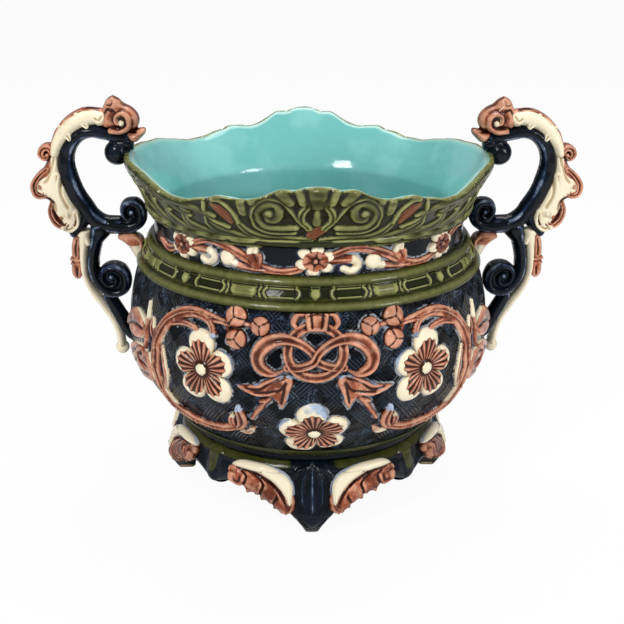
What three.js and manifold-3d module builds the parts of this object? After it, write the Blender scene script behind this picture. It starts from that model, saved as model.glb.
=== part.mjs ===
// Two-handled majolica jardiniere: a round bowl with a wavy flared rim, moulded rolls, applied
// relief and two scroll handles, on a low ring base with four scroll feet.
// Millimetres, +Z up, floor at z = 0, axis of the pot at x = y = 0, front towards -Y.
import * as THREE from 'three';
import { mergeVertices } from 'three/addons/utils/BufferGeometryUtils.js';
import Module from 'manifold-3d';

// ---- driving dimensions, millimetres and degrees ----

const JOINT_GAP = 0.3; // slip line between two luted pieces
const ROOT_BITE = 6; // how far a raw root runs into the pot before it is cut back to the wall

const BASE_HEIGHT = 50; // underside of the bowl
const BASE_RADIUS = 91;
const BASE_CORNER = 3;
const BELLY_FOOT = 6; // straight start of the wall above the underside
const BELLY_RISE = 64; // from there up to the widest girth
const BELLY_RADIUS = 126.5;
const SHOULDER_RISE = 47; // from the widest girth up to the lower roll
const SHOULDER_RADIUS = 118;
const BAND_ZONE = 20; // the two rolls and the fluted band between them
const NECK_LENGTH = 18;
const NECK_RADIUS = 107;
const WALL = 6.5;
const FLOOR = 8;
const FLOOR_CORNER = 5;

const RIM_SIDE_RADIUS = 127; // outer edge of the rim over each handle
const RIM_SIDE_RISE = 35; // from the neck up to the edge over each handle
const RIM_PEAK_REACH = 13; // front and back crests stand this much further out
const RIM_PEAK_RISE = 8; // and this much higher
const RIM_DIP = 8.8; // depth of the four saddles between crests and handles
const RIM_PINCH = 2.5;
const LIP_WALL = 3.5;
const COLLAR_WALL = 3.8;
const COLLAR_ROLL = 4.6; // how far the lower edge of the collar stands off the neck
const COLLAR_ROLL_HEIGHT = 5;
const RIM_RELIEF_RISE = 1.3; // of the volutes and leaves on the border
const RIM_RELIEF_ROOT = 1.8; // how far they run into it
const RIM_RELIEF_WIDTH = 4.4;
const LOZENGE_WIDTH = 8;

const ROLL_RISE = 3.6;
const ROLL_SHARE = 0.3; // of the band zone, for each of its two rolls
const BAND_RISE = 1.8;
const BEAD_RADIUS = 4.4;
const BEAD_RISE = 1.6;
const OVAL_LENGTH = 19;
const BASE_ROLL_HEIGHT = 7;
const BASE_ROLL_RISE = 1.8;

const FOOT_SPREAD = 13; // how far a foot swells out past the base of the bowl
const FOOT_SWELL_HEIGHT = 17;
const SOLE_SETBACK = 8; // from the swell of a foot in to the outer edge of its sole
const SOLE_DEPTH = 11;
const APRON_SPREAD = 6;
const APRON_NECK = 2; // how far it still stands out where it bends in under the bowl
const APRON_BEND = 6; // height of that bend
const APRON_WALL = 10;
const APRON_ARCH = 31; // height of the arch beside each foot
const LOBE_DROP = 7; // the drop between two arches hangs this much lower
const SHELL_WIDTH = 25;
const SHELL_RISE = 5.5;

const HANDLE_REACH = 67; // from the rim's edge out to a handle's furthest point
const STRAP_THICKNESS = 16;
const LEAF_THICKNESS = 21;
const FINIAL_THICKNESS = 24;
const VOLUTE_RADIUS = 10.5;
const LOWER_VOLUTE_RADIUS = 13;
const VOLUTE_THICKNESS = 19;
const RIB_THICKNESS = 14;
const RIBBON_THICKNESS = 9;
const BUD_RADIUS = 5;
const PLATE_BEVEL = 2;
const RIBBON_BEVEL = 1;

const FLOWER_RADIUS = 21.5;
const FLOWER_RISE = 3.6;
const LOW_FLOWER_RADIUS = 24;
const BUTTON_RADIUS = 4;
const BUTTON_RISE = 2;
const BERRY_RADIUS = 6.6;
const SCROLL_WIDTH = 7;
const SCROLL_RISE = 3.2;
const RING_HALF_WIDTH = 18;
const RING_HALF_HEIGHT = 15;
const RIBBON_WIDTH = 6;
const RIBBON_RISE = 4.6;
const CLASP_WIDTH = 15;
const CLASP_RISE = 6;
const STEM_WIDTH = 3.6;
const LEAF_WIDTH = 13;
const LEAF_RISE = 3;
const NECK_FLOWER_RADIUS = 8.6;
const NECK_FLOWER_RISE = 2.8;
const VINE_WIDTH = 4.2;
const VINE_RISE = 2.4;

// ---- counts ----

const RING_STEPS = 40; // facets round the pot
const BELLY_ROWS = 7;
const BAND_REPEATS = 8; // one bead and one oval each
const VOLUTE_STEPS = 14;

// ---- glazes ----

const glaze = (color, roughness = 0.18) =>
  new THREE.MeshStandardMaterial({ color, roughness, metalness: 0 });
const navy = () => glaze(0x141c2c);
const olive = () => glaze(0x5c6428);
const terracotta = () => glaze(0xb4694c, 0.24);
const cream = () => glaze(0xeee2c4, 0.22);

// ---- solids: boolean joins and cuts on closed meshes ----

const wasm = await Module();
wasm.setup();

function solidOf(geometry) {
  const bare = geometry.clone();
  bare.deleteAttribute('normal');
  bare.deleteAttribute('uv');
  const merged = mergeVertices(bare, 1e-4);
  const triVerts = [];
  const index = merged.index.array;
  for (let i = 0; i < index.length; i += 3) {
    const [a, b, c] = [index[i], index[i + 1], index[i + 2]];
    if (a !== b && b !== c && c !== a) triVerts.push(a, b, c);
  }
  const vertProperties = new Float32Array(merged.attributes.position.array);
  return new wasm.Manifold(new wasm.Mesh({
    numProp: 3, vertProperties, triVerts: new Uint32Array(triVerts),
  }));
}

function geometryOf(solid) {
  const { vertProperties, triVerts } = solid.getMesh();
  const geometry = new THREE.BufferGeometry();
  geometry.setAttribute('position', new THREE.BufferAttribute(vertProperties, 3));
  geometry.setIndex(new THREE.BufferAttribute(triVerts, 1));
  geometry.computeVertexNormals();
  return geometry;
}

const join = (first, ...others) => others.reduce((whole, part) => whole.add(part), first);
const cut = (solid, ...tools) => tools.reduce((rest, tool) => rest.subtract(tool), solid);

// The main body of a cut piece, without the crumbs that a grazing cut leaves.
const mainBody = (solid) => solid.decompose().reduce(
  (most, part) => (part.volume() > most.volume() ? part : most),
);

// ---- the pot's own curves ----

const degrees = THREE.MathUtils.degToRad;
const bell = (offset, spread) => Math.exp(-((offset / spread) ** 2));

const BELLY_FULLNESS = 1.8; // exponent of the lower wall's curve
const BELLY_BOTTOM = BASE_HEIGHT + BELLY_FOOT;
const BELLY_HEIGHT = BELLY_BOTTOM + BELLY_RISE;
const SHOULDER_HEIGHT = BELLY_HEIGHT + SHOULDER_RISE;
const NECK_BOTTOM = SHOULDER_HEIGHT + BAND_ZONE;
const NECK_TOP = NECK_BOTTOM + NECK_LENGTH;
const RIM_SIDE_HEIGHT = NECK_TOP + RIM_SIDE_RISE;

// Outer radius of the wall at a height, from the underside to the top of the neck.
function bodyRadius(height) {
  if (height < BELLY_BOTTOM) return BASE_RADIUS;
  if (height < BELLY_HEIGHT) {
    const down = (BELLY_HEIGHT - height) / BELLY_RISE;
    return BELLY_RADIUS - (BELLY_RADIUS - BASE_RADIUS) * down ** BELLY_FULLNESS;
  }
  if (height < SHOULDER_HEIGHT) {
    const up = (height - BELLY_HEIGHT) / SHOULDER_RISE;
    return BELLY_RADIUS - (BELLY_RADIUS - SHOULDER_RADIUS) * up ** 2;
  }
  const lean = Math.min(1, (height - SHOULDER_HEIGHT) / BAND_ZONE);
  return THREE.MathUtils.lerp(SHOULDER_RADIUS, NECK_RADIUS, lean);
}

const slopeAt = (height) => (bodyRadius(height + 0.5) - bodyRadius(height - 0.5));
const innerRadius = (height) => bodyRadius(height) - WALL * Math.hypot(1, slopeAt(height));

const PEAK_RADIUS_SPREAD = 23;
const PEAK_HEIGHT_SPREAD = 20;
const DIP_ANGLE = 42;
const DIP_SPREAD = 16;
const PINCH_ANGLE = 62;
const PINCH_SPREAD = 15;

// Angle from the nearest crest, 0 at the front or back and 90 over a handle.
function fromCrest(angle) {
  const folded = Math.abs(((angle % 180) + 180) % 180);
  return Math.min(folded, 180 - folded);
}

// Outer edge of the rim at an angle from the front: its radius and its height.
function rimEdge(angle) {
  const off = fromCrest(angle);
  const radius = RIM_SIDE_RADIUS + RIM_PEAK_REACH * Math.exp(-((off / PEAK_RADIUS_SPREAD) ** 1.5))
    - RIM_PINCH * bell(off - PINCH_ANGLE, PINCH_SPREAD);
  const height = RIM_SIDE_HEIGHT + RIM_PEAK_RISE * Math.exp(-((off / PEAK_HEIGHT_SPREAD) ** 1.6))
    - RIM_DIP * bell(off - DIP_ANGLE, DIP_SPREAD);
  return { radius, height };
}

// Point on the flare between the neck (rise 0) and the rim's edge (rise 1), moved in by depth.
function flarePoint(angle, rise, neckRadius, depthAtEdge) {
  const edge = rimEdge(angle);
  const radius = THREE.MathUtils.lerp(neckRadius, edge.radius - depthAtEdge, rise ** 1.25);
  return [radius, THREE.MathUtils.lerp(NECK_TOP, edge.height, rise)];
}

// ---- turned work: a section carried round the axis, which may change with the angle ----

// sectionAt(angle) lists [radius, height] from the axis or inner foot outwards, up and back in.
// Every facet's diagonal climbs the same way, so two nested skins keep an even gap.
function turned(sectionAt, angles, closed) {
  const positions = [];
  const index = [];
  const rows = sectionAt(0).length;
  for (const angle of angles) {
    const a = degrees(angle);
    for (const [radius, height] of sectionAt(angle)) {
      positions.push(radius * Math.sin(a), -radius * Math.cos(a), height);
    }
  }
  for (let step = 0; step < angles.length; step += 1) {
    const here = step * rows;
    const next = ((step + 1) % angles.length) * rows;
    for (let row = 0; row < (closed ? rows : rows - 1); row += 1) {
      const above = (row + 1) % rows;
      const falling = positions[3 * (here + above) + 2] < positions[3 * (here + row) + 2];
      if (falling) {
        index.push(here + row, next + row, here + above);
        index.push(next + row, next + above, here + above);
      } else {
        index.push(here + row, next + row, next + above);
        index.push(here + row, next + above, here + above);
      }
    }
  }
  const geometry = new THREE.BufferGeometry();
  geometry.setAttribute('position', new THREE.Float32BufferAttribute(positions, 3));
  geometry.setIndex(index);
  return solidOf(geometry);
}

const ringAngles = Array.from({ length: RING_STEPS }, (_, step) => (360 * step) / RING_STEPS);

const bellyHeights = Array.from({ length: BELLY_ROWS + 1 }, (_, row) => THREE.MathUtils.lerp(
  BELLY_BOTTOM, SHOULDER_HEIGHT, row / BELLY_ROWS,
));
const FLARE_ROWS = [0.5, 1];

function outerSection(angle, grow) {
  const lip = COLLAR_WALL + JOINT_GAP - grow;
  return [
    [0, BASE_HEIGHT - grow],
    [BASE_RADIUS - BASE_CORNER, BASE_HEIGHT - grow],
    [BASE_RADIUS + grow, BASE_HEIGHT + BASE_CORNER],
    ...bellyHeights.map((height) => [bodyRadius(height) + grow, height]),
    [NECK_RADIUS + grow, NECK_BOTTOM],
    [NECK_RADIUS + grow, NECK_TOP],
    ...FLARE_ROWS.map((rise) => flarePoint(angle, rise, NECK_RADIUS + grow, lip)),
  ];
}

function innerSection(angle) {
  const floorHeight = BASE_HEIGHT + FLOOR;
  const cornerHeight = floorHeight + FLOOR_CORNER;
  const lip = COLLAR_WALL + JOINT_GAP + LIP_WALL;
  const neckInner = NECK_RADIUS - WALL;
  const wallHeights = bellyHeights.filter((height) => height > cornerHeight + 1).reverse();
  return [
    ...FLARE_ROWS.slice().reverse().map((rise) => flarePoint(angle, rise, neckInner, lip)),
    [neckInner, NECK_TOP],
    [neckInner, NECK_BOTTOM],
    ...wallHeights.map((height) => [innerRadius(height), height]),
    [innerRadius(cornerHeight), cornerHeight],
    [innerRadius(cornerHeight) - FLOOR_CORNER, floorHeight],
    [0, floorHeight],
  ];
}

const bowlBody = turned((angle) => [...outerSection(angle, 0), ...innerSection(angle)],
  ringAngles, false);

// The whole outside of the bowl as one full block, grown by the joint gap.
const bowlBlock = turned((angle) => {
  const outline = outerSection(angle, JOINT_GAP);
  const [, top] = outline[outline.length - 1];
  return [...outline, [0, top]];
}, ringAngles, false);

// A half-round roll laid on the wall between two heights, standing off it by rise.
function rollSection(bottom, top, rise, grow) {
  const seat = JOINT_GAP - grow;
  const middle = (bottom + top) / 2;
  return [
    [bodyRadius(bottom) + seat, bottom - grow],
    [bodyRadius(bottom) + rise * 0.6 + grow, bottom - grow],
    [bodyRadius(middle) + rise + grow, middle],
    [bodyRadius(top) + rise * 0.6 + grow, top + grow],
    [bodyRadius(top) + seat, top + grow],
  ];
}

const LOWER_ROLL_TOP = SHOULDER_HEIGHT + ROLL_SHARE * BAND_ZONE;
const UPPER_ROLL_BOTTOM = NECK_BOTTOM - ROLL_SHARE * BAND_ZONE;

const roll = (bottom, top, rise, grow = 0) => turned(
  () => rollSection(bottom, top, rise, grow), ringAngles, true,
);
const lowerRoll = (grow) => roll(SHOULDER_HEIGHT + JOINT_GAP, LOWER_ROLL_TOP, ROLL_RISE, grow);
const upperRoll = (grow) => roll(UPPER_ROLL_BOTTOM, NECK_BOTTOM - JOINT_GAP, ROLL_RISE, grow);
const bandRing = (grow) => roll(
  LOWER_ROLL_TOP + JOINT_GAP, UPPER_ROLL_BOTTOM - JOINT_GAP, BAND_RISE, grow,
);

function collarSection(angle, grow) {
  const seat = NECK_RADIUS + JOINT_GAP - grow;
  const inner = (rise) => flarePoint(angle, rise, seat, COLLAR_WALL + grow);
  const outer = (rise) => flarePoint(angle, rise, NECK_RADIUS + COLLAR_WALL + grow, -grow);
  const [edgeRadius, edgeHeight] = outer(1);
  return [
    [seat, NECK_TOP + JOINT_GAP - grow],
    [NECK_RADIUS + COLLAR_ROLL + grow, NECK_TOP + JOINT_GAP - grow],
    [NECK_RADIUS + COLLAR_ROLL + grow, NECK_TOP + COLLAR_ROLL_HEIGHT],
    outer(0.5),
    [edgeRadius, edgeHeight - 2],
    [edgeRadius - COLLAR_WALL / 2, edgeHeight + grow],
    [inner(1)[0], edgeHeight + grow],
    inner(0.5),
  ];
}

const collar = (grow) => turned((angle) => collarSection(angle, grow), ringAngles, true);

// ---- relief that follows the wall ----

const wallRadius = (angle, height) => bodyRadius(height);

// Position and outward normal on a wall at an angle from the front and a height.
function onWall(angle, height, radiusAt = wallRadius) {
  const a = degrees(angle);
  const slope = radiusAt(angle, height + 0.5) - radiusAt(angle, height - 0.5);
  const out = new THREE.Vector3(Math.sin(a), -Math.cos(a), 0);
  const place = out.clone().multiplyScalar(radiusAt(angle, height)).setZ(height);
  const normal = out.clone().setZ(-slope).normalize();
  return { place, normal };
}

// The height reached from a start height after a distance along the wall's profile.
function slide(height, distance) {
  const strides = 8;
  let reached = height;
  for (let stride = 0; stride < strides; stride += 1) {
    reached += distance / strides / Math.hypot(1, slopeAt(reached));
  }
  return reached;
}

function solidFrom(positions, index) {
  const geometry = new THREE.BufferGeometry();
  geometry.setAttribute('position', new THREE.Float32BufferAttribute(positions, 3));
  geometry.setIndex(index);
  return solidOf(geometry);
}

// Relief strip along a path of [angle, height] points: a flat-topped bar, or a ridge if sharp.
// Its chords dip towards the round wall, so it is seated that much further out.
// As a cutting tool it is grown on all sides and runs into the wall.
function strip(path, { width, rise, steps = 10, sharp = false, radiusAt, root }, grow = 0) {
  const girth = BELLY_RADIUS * degrees(1);
  const curve = new THREE.CatmullRomCurve3(
    path.map(([angle, height]) => new THREE.Vector3(angle * girth, height, 0)), false, 'centripetal',
  );
  const spots = curve.getSpacedPoints(steps).map((p) => onWall(p.x / girth, p.y, radiusAt));
  const widthAt = typeof width === 'function' ? width : () => width;
  const dip = (curve.getLength() / steps) ** 2 / (8 * BASE_RADIUS);
  const bite = root ?? (grow || radiusAt ? ROOT_BITE : 0);
  const seat = bite ? -bite : JOINT_GAP + Math.min(dip, JOINT_GAP);
  const positions = [];
  const sides = sharp ? 3 : 4;
  spots.forEach(({ place, normal }, step) => {
    const before = spots[Math.max(0, step - 1)].place;
    const after = spots[Math.min(steps, step + 1)].place;
    const along = after.clone().sub(before).normalize();
    const side = normal.clone().cross(along).normalize();
    const half = widthAt(step / steps) / 2 + grow;
    const ends = { 0: -grow, [steps]: grow };
    const top = rise + grow;
    const crest = sharp ? [[0, top]] : [[half * 0.6, top], [-half * 0.6, top]];
    for (const [across, up] of [[-half, seat], [half, seat], ...crest]) {
      const point = place.clone().addScaledVector(side, across).addScaledVector(normal, up);
      positions.push(...point.addScaledVector(along, ends[step] ?? 0).toArray());
    }
  });
  const index = [];
  for (let step = 0; step < steps; step += 1) {
    for (let corner = 0; corner < sides; corner += 1) {
      const here = step * sides + corner;
      const beside = step * sides + ((corner + 1) % sides);
      index.push(here, beside, beside + sides, here, beside + sides, here + sides);
    }
  }
  const last = steps * sides;
  for (let corner = 1; corner < sides - 1; corner += 1) {
    index.push(0, corner + 1, corner, last, last + corner, last + corner + 1);
  }
  return solidFrom(positions, index);
}

// Relief rosette on the wall: rings [share of the outline, rise] from the middle outwards.
function rosette(angle, height, outline, rings, grow = 0, seat = grow ? -ROOT_BITE : JOINT_GAP) {
  const points = outline.length;
  const positions = [];
  const addPoint = ([across, along], up) => {
    const reached = slide(height, along);
    const turn = across / bodyRadius(reached) / degrees(1);
    const { place, normal } = onWall(angle + turn, reached);
    positions.push(...place.addScaledVector(normal, up).toArray());
  };
  const widest = Math.max(...outline.map((point) => Math.hypot(...point)));
  const underside = widest > WALL * 2 ? [[1, seat], [0.5, seat]] : [[1, seat]];
  const layers = [...rings, ...underside];
  addPoint([0, 0], rings[0][1] + grow);
  for (const [share, rise] of layers) {
    for (const [across, along] of outline) {
      const spread = share + (share < 1 ? 0 : grow / Math.hypot(across, along));
      addPoint([across * spread, along * spread], rise + (rise === seat ? 0 : grow));
    }
  }
  addPoint([0, 0], seat);
  const index = [];
  const ringStart = (layer) => 1 + layer * points;
  const last = ringStart(layers.length);
  for (let point = 0; point < points; point += 1) {
    const next = (point + 1) % points;
    index.push(0, ringStart(0) + point, ringStart(0) + next);
    for (let layer = 0; layer < layers.length - 1; layer += 1) {
      const [inner, outer] = [ringStart(layer), ringStart(layer + 1)];
      index.push(inner + point, outer + point, outer + next);
      index.push(inner + point, outer + next, inner + next);
    }
    const bottom = ringStart(layers.length - 1);
    index.push(bottom + point, last, bottom + next);
  }
  return solidFrom(positions, index);
}

const leafWidth = (width) => (t) => 1.2 + width * Math.sin(Math.PI * t) ** 0.8;

// ---- the border's relief on one side of a crest, in [angle from the crest, percent of the flare] ----

const RIM_VOLUTE = [
  [6, 37], [10.5, 35], [15.2, 40], [16.4, 57], [14, 75], [11, 76], [10.2, 62], [12.6, 56],
];
const RIM_VOLUTE_RIDGE = [[5.4, 24], [12, 24], [18.6, 40], [19, 62]];
const RIM_LOZENGE = [[25, 44], [26.8, 64], [28.6, 84]];
const RIM_CREST_LOBES = [[[0, 74], [0, 93]], [[7, 80], [8.6, 92]]];
const RIM_LEAF = [[0, 14], [9, 19], [15, 38], [15, 64]];
const RIM_LEAF_CURL = [[14, 66], [18, 80], [25, 90]];
const RIM_LEAF_STARTS = [17, 26, 35, 44, 52, 59];

const rimRise = (angle, height) => (height - NECK_TOP) / (rimEdge(angle).height - NECK_TOP);
const rimFace = (angle, height) => flarePoint(
  angle, Math.max(0, rimRise(angle, height)), NECK_RADIUS + COLLAR_WALL, 0,
)[0];

function rimRelief() {
  const bar = { width: RIM_RELIEF_WIDTH, rise: RIM_RELIEF_RISE, sharp: true };
  const laid = (path, crest, side, shape) => strip(path.map(([off, percent]) => {
    const angle = crest + side * off;
    return [angle, THREE.MathUtils.lerp(NECK_TOP, rimEdge(angle).height, percent / 100)];
  }), { ...bar, radiusAt: rimFace, root: RIM_RELIEF_ROOT, ...shape });
  const shifted = (path, start) => path.map(([off, percent]) => [off + start, percent]);
  return [0, 180].flatMap((crest) => [
    laid(RIM_CREST_LOBES[0], crest, 1, { width: LOZENGE_WIDTH, steps: 2, sharp: false }),
    ...[-1, 1].flatMap((side) => [
      laid(RIM_VOLUTE, crest, side, { steps: 10 }),
      laid(RIM_VOLUTE_RIDGE, crest, side, { steps: 5 }),
      laid(RIM_LOZENGE, crest, side, { width: LOZENGE_WIDTH, steps: 2 }),
      laid(RIM_CREST_LOBES[1], crest, side, { width: LOZENGE_WIDTH * 0.7, steps: 2 }),
      ...RIM_LEAF_STARTS.flatMap((start) => [
        laid(shifted(RIM_LEAF, start), crest, side, { steps: 4 }),
        laid(shifted(RIM_LEAF_CURL, start), crest, side, { steps: 3 }),
      ]),
    ]),
  ]);
}

// ---- flowers, berries and buds ----

const PETALS = 5;

function petalOutline(radius, points) {
  return Array.from({ length: points }, (_, point) => {
    const a = (2 * Math.PI * point) / points;
    const reach = radius * (0.91 + 0.09 * Math.cos(PETALS * a));
    return [-reach * Math.sin(a), reach * Math.cos(a)];
  });
}

function roundOutline(radius, points) {
  return Array.from({ length: points }, (_, point) => {
    const a = (2 * Math.PI * point) / points;
    return [-radius * Math.sin(a), radius * Math.cos(a)];
  });
}

function flower([angle, height], radius, grow = 0) {
  const rings = [
    [BUTTON_RADIUS / radius, FLOWER_RISE + BUTTON_RISE],
    [(BUTTON_RADIUS + 1) / radius, FLOWER_RISE],
    [1, FLOWER_RISE],
  ];
  return rosette(angle, height, petalOutline(radius, 20), grow ? rings.slice(2) : rings, grow);
}

function berry([angle, height], grow = 0) {
  const rings = [[0.55, BERRY_RADIUS * 0.75], [1, BERRY_RADIUS * 0.3]];
  return rosette(angle, height, roundOutline(BERRY_RADIUS, 8), rings, grow);
}

// ---- the relief of one face, in [angle, percent of the belly's height]; side is -1 or 1 ----

const BERRIES = [[23.4, 91.4], [15.8, 91.2], [22.8, 80.4]];
const BERRY_STALKS = [[[23.4, 91.4], [15.8, 91.2]], [[23.4, 91.4], [22.8, 80.4]]];
const SIDE_FLOWER = [33.3, 62.6];
const LOW_FLOWER = [0, 27];
const RING_CENTRE = [0, 78.8];
const SCROLL = [
  [24, 27], [30, 23], [37, 21.2], [45, 22.5], [50.5, 27.9], [53, 36.9], [53.3, 47.7],
  [53, 58.6], [52, 70.3], [49, 81.1], [44, 89.2], [38, 93.2], [31, 92.3], [25, 91],
];
const SCROLL_SHOOT = [[36, 92.8], [32, 90.5], [30.2, 86.9], [30, 83.8]];
const SCROLL_BUD = [[24.5, 27], [22.3, 32.4], [22.4, 38.7], [23.2, 42.3]];
const HOOK = [
  [-2.5, 68.5], [1.2, 74.3], [5, 82], [9.5, 85.1], [13.8, 82.4], [16, 76.1], [14.8, 69.4],
  [11.8, 68],
];
const BELL_LEAF = [[6.4, 63.1], [11, 60.4], [16, 55.4], [20.5, 55.4]];
const DROP_LEAF = [[6.4, 63.1], [7.8, 56.8], [8.3, 48.6], [8.6, 40.5]];
const BELL_STEM = [[12, 58.6], [16, 45], [19.5, 35.6]];
const SIDE_LEAF = [[72, 36], [77.5, 46.8], [77, 59.5], [70, 67.6], [64, 75.7]];
const SIDE_LEAF_FOLD = [[76, 45], [70, 47.7], [65, 55.9], [62.5, 70.3]];
const SIDE_SPEAR = [[74.5, 41.4], [66, 41.4], [60.5, 54.1], [58.6, 73.9], [58.8, 89.2]];

const bellyHeight = (percent) => THREE.MathUtils.lerp(BELLY_BOTTOM, SHOULDER_HEIGHT, percent / 100);
const placed = (path, side) => path.map(([angle, percent]) => [angle * side, bellyHeight(percent)]);

function ringOfKnot(grow) {
  const [[centreAngle, centreHeight]] = placed([RING_CENTRE], 1);
  const degree = degrees(1) * BELLY_RADIUS;
  const pointAt = (turn) => [
    centreAngle + (RING_HALF_WIDTH * Math.sin(turn)) / degree,
    centreHeight - RING_HALF_HEIGHT * Math.cos(turn),
  ];
  const shape = { width: RIBBON_WIDTH, rise: RIBBON_RISE - 0.8, steps: 6 };
  const halves = [0, Math.PI].map((start) => Array.from(
    { length: 9 }, (_, point) => pointAt(start + (point * Math.PI) / 8),
  ));
  return join(...halves.map((half) => strip(half, shape, grow)));
}

function knot(grow = 0) {
  const ribbon = { width: RIBBON_WIDTH - 0.8, rise: RIBBON_RISE, steps: 11 };
  const clasp = { width: CLASP_WIDTH, rise: CLASP_RISE, steps: 2 };
  const [[centreAngle, centreHeight]] = placed([RING_CENTRE], 1);
  const claspFoot = [centreAngle, centreHeight + RING_HALF_HEIGHT - RIBBON_WIDTH / 2];
  const claspHead = [centreAngle, SHOULDER_HEIGHT - JOINT_GAP];
  return join(ringOfKnot(grow), strip([claspFoot, claspHead], clasp, grow),
    strip(placed(HOOK, 1), ribbon, grow), strip(placed(HOOK, -1), ribbon, grow));
}

function bellLeaves(side, grow = 0) {
  const leaf = { width: leafWidth(LEAF_WIDTH - 3), rise: LEAF_RISE, steps: 5 };
  const drop = { width: leafWidth(LEAF_WIDTH - 6), rise: LEAF_RISE, steps: 3, sharp: true };
  const stem = { width: STEM_WIDTH, rise: LEAF_RISE - 1, steps: 3, sharp: true };
  return join(strip(placed(BELL_LEAF, side), leaf, grow),
    strip(placed(DROP_LEAF, side), drop, grow),
    strip(placed(BELL_STEM, side), stem, grow));
}

// Acanthus scroll with its bud, its inner shoot and the three berries at its tip.
function branch(side) {
  const body = {
    width: (t) => 3.5 + SCROLL_WIDTH * Math.sin(Math.PI * t) ** 0.6, rise: SCROLL_RISE, steps: 13,
  };
  const shoot = { width: SCROLL_WIDTH - 2, rise: SCROLL_RISE - 0.6, steps: 3, sharp: true };
  const bud = { width: leafWidth(SCROLL_WIDTH - 1), rise: SCROLL_RISE, steps: 4, sharp: true };
  const stalk = { width: STEM_WIDTH, rise: STEM_WIDTH / 2, steps: 2, sharp: true };
  return join(strip(placed(SCROLL, side), body), strip(placed(SCROLL_SHOOT, side), shoot),
    strip(placed(SCROLL_BUD, side), bud),
    ...BERRY_STALKS.map((path) => strip(placed(path, side), stalk)),
    ...placed(BERRIES, side).map((place) => berry(place)));
}

function sideLeaf(side) {
  const leaf = { width: leafWidth(LEAF_WIDTH), rise: LEAF_RISE, steps: 8 };
  const fold = { width: leafWidth(LEAF_WIDTH - 5), rise: LEAF_RISE - 0.4, steps: 4, sharp: true };
  const spear = { width: leafWidth(4), rise: LEAF_RISE - 0.8, steps: 5, sharp: true };
  return join(strip(placed(SIDE_LEAF, side), leaf), strip(placed(SIDE_LEAF_FOLD, side), fold),
    strip(placed(SIDE_SPEAR, side), spear));
}

// ---- the neck's frieze: flowers and a running stem, in [angle, percent of the neck above its middle] ----

const NECK_FLOWERS = [-49, 0, 49];
const NECK_MIDDLE = (NECK_BOTTOM + NECK_TOP) / 2;
const VINE = [[3, 0], [8, 20], [16, 36], [24, 18], [31, -20], [37, -37], [43, -31], [47, -6]];
const VINE_TAIL = [[3, 0], [8, 20], [14, 17]];
const VINE_HEAD = [[-15, -25], [-8, -31], [-2, -6]];
const VINE_BUD = [[33, -28], [28, -31], [24, -19]];
const VINE_LEAF = [[30, -13], [33.5, 8], [35, 28]];

function neckFrieze() {
  const stem = { width: VINE_WIDTH, rise: VINE_RISE, sharp: true };
  const bud = { width: leafWidth(VINE_WIDTH), rise: VINE_RISE, steps: 3, sharp: true };
  const fromFlower = (path, start) => path.map(
    ([angle, percent]) => [start + angle, NECK_MIDDLE + (percent / 100) * NECK_LENGTH],
  );
  const outline = petalOutline(NECK_FLOWER_RADIUS, 10);
  const rings = [[0.3, NECK_FLOWER_RISE + 0.8], [1, NECK_FLOWER_RISE]];
  const pieces = NECK_FLOWERS.map((angle) => rosette(angle, NECK_MIDDLE, outline, rings));
  for (const start of NECK_FLOWERS.slice(0, -1)) {
    pieces.push(strip(fromFlower(VINE, start), { ...stem, steps: 10 }));
    pieces.push(strip(fromFlower(VINE_BUD, start), bud));
    pieces.push(strip(fromFlower(VINE_LEAF, start), bud));
  }
  pieces.push(strip(fromFlower(VINE_TAIL, NECK_FLOWERS[2]), { ...stem, steps: 3 }));
  pieces.push(strip(fromFlower(VINE_HEAD, NECK_FLOWERS[0]), { ...stem, steps: 3 }));
  return join(...pieces);
}

// ---- the fluted band: a ring with round beads and long ovals ----

function flutedBand() {
  const middle = (LOWER_ROLL_TOP + UPPER_ROLL_BOTTOM) / 2;
  const room = (UPPER_ROLL_BOTTOM - LOWER_ROLL_TOP) / 2 - 2 * JOINT_GAP;
  const radius = Math.min(BEAD_RADIUS, room);
  const seat = BAND_RISE / 2;
  const pieces = [];
  for (let repeat = 0; repeat < BAND_REPEATS; repeat += 1) {
    const angle = (360 * repeat) / BAND_REPEATS;
    const ovalAngle = angle + 180 / BAND_REPEATS;
    const bead = roundOutline(radius, 8);
    const oval = bead.map(([across, along]) => [(across * OVAL_LENGTH) / (2 * radius), along]);
    const dome = (rise) => [[0.8, BAND_RISE + rise]];
    pieces.push(rosette(angle, middle, bead, dome(BEAD_RISE), 0, seat));
    pieces.push(rosette(ovalAngle, middle, oval, dome(BEAD_RISE * 0.6), 0, seat));
  }
  return join(bandRing(0), ...pieces);
}

// ---- the base: a ring with four feet, arches and drops, and eight shell scrolls ----

const FOOT_HALF_ANGLE = 2.6; // of the sole
const LOBE_HALF_ANGLE = 7;
const EIGHTH_ANGLES = [0, FOOT_HALF_ANGLE, 5.5, 9, 13, 18, 23.5, 30, 36, 41];
const footAngles = [0, 90, 180, 270].flatMap((foot) => [
  ...EIGHTH_ANGLES.map((off) => foot + off), foot + 45,
  ...EIGHTH_ANGLES.slice(1).reverse().map((off) => foot + 90 - off),
]);

// Angle from the nearest foot, 0 at a foot and 45 at the drop between two feet.
function fromFoot(angle) {
  const folded = ((angle % 90) + 90) % 90;
  return Math.min(folded, 90 - folded);
}

// Lower edge of the base ring: flat soles, arches beside them, a drop between two arches.
function apronEdge(angle) {
  const off = fromFoot(angle);
  if (off <= FOOT_HALF_ANGLE) return 0;
  const climb = Math.min(1, (off - FOOT_HALF_ANGLE) / (30 - FOOT_HALF_ANGLE));
  return APRON_ARCH * Math.sin((climb * Math.PI) / 2) ** 0.8
    - LOBE_DROP * bell(off - 45, LOBE_HALF_ANGLE);
}

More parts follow.
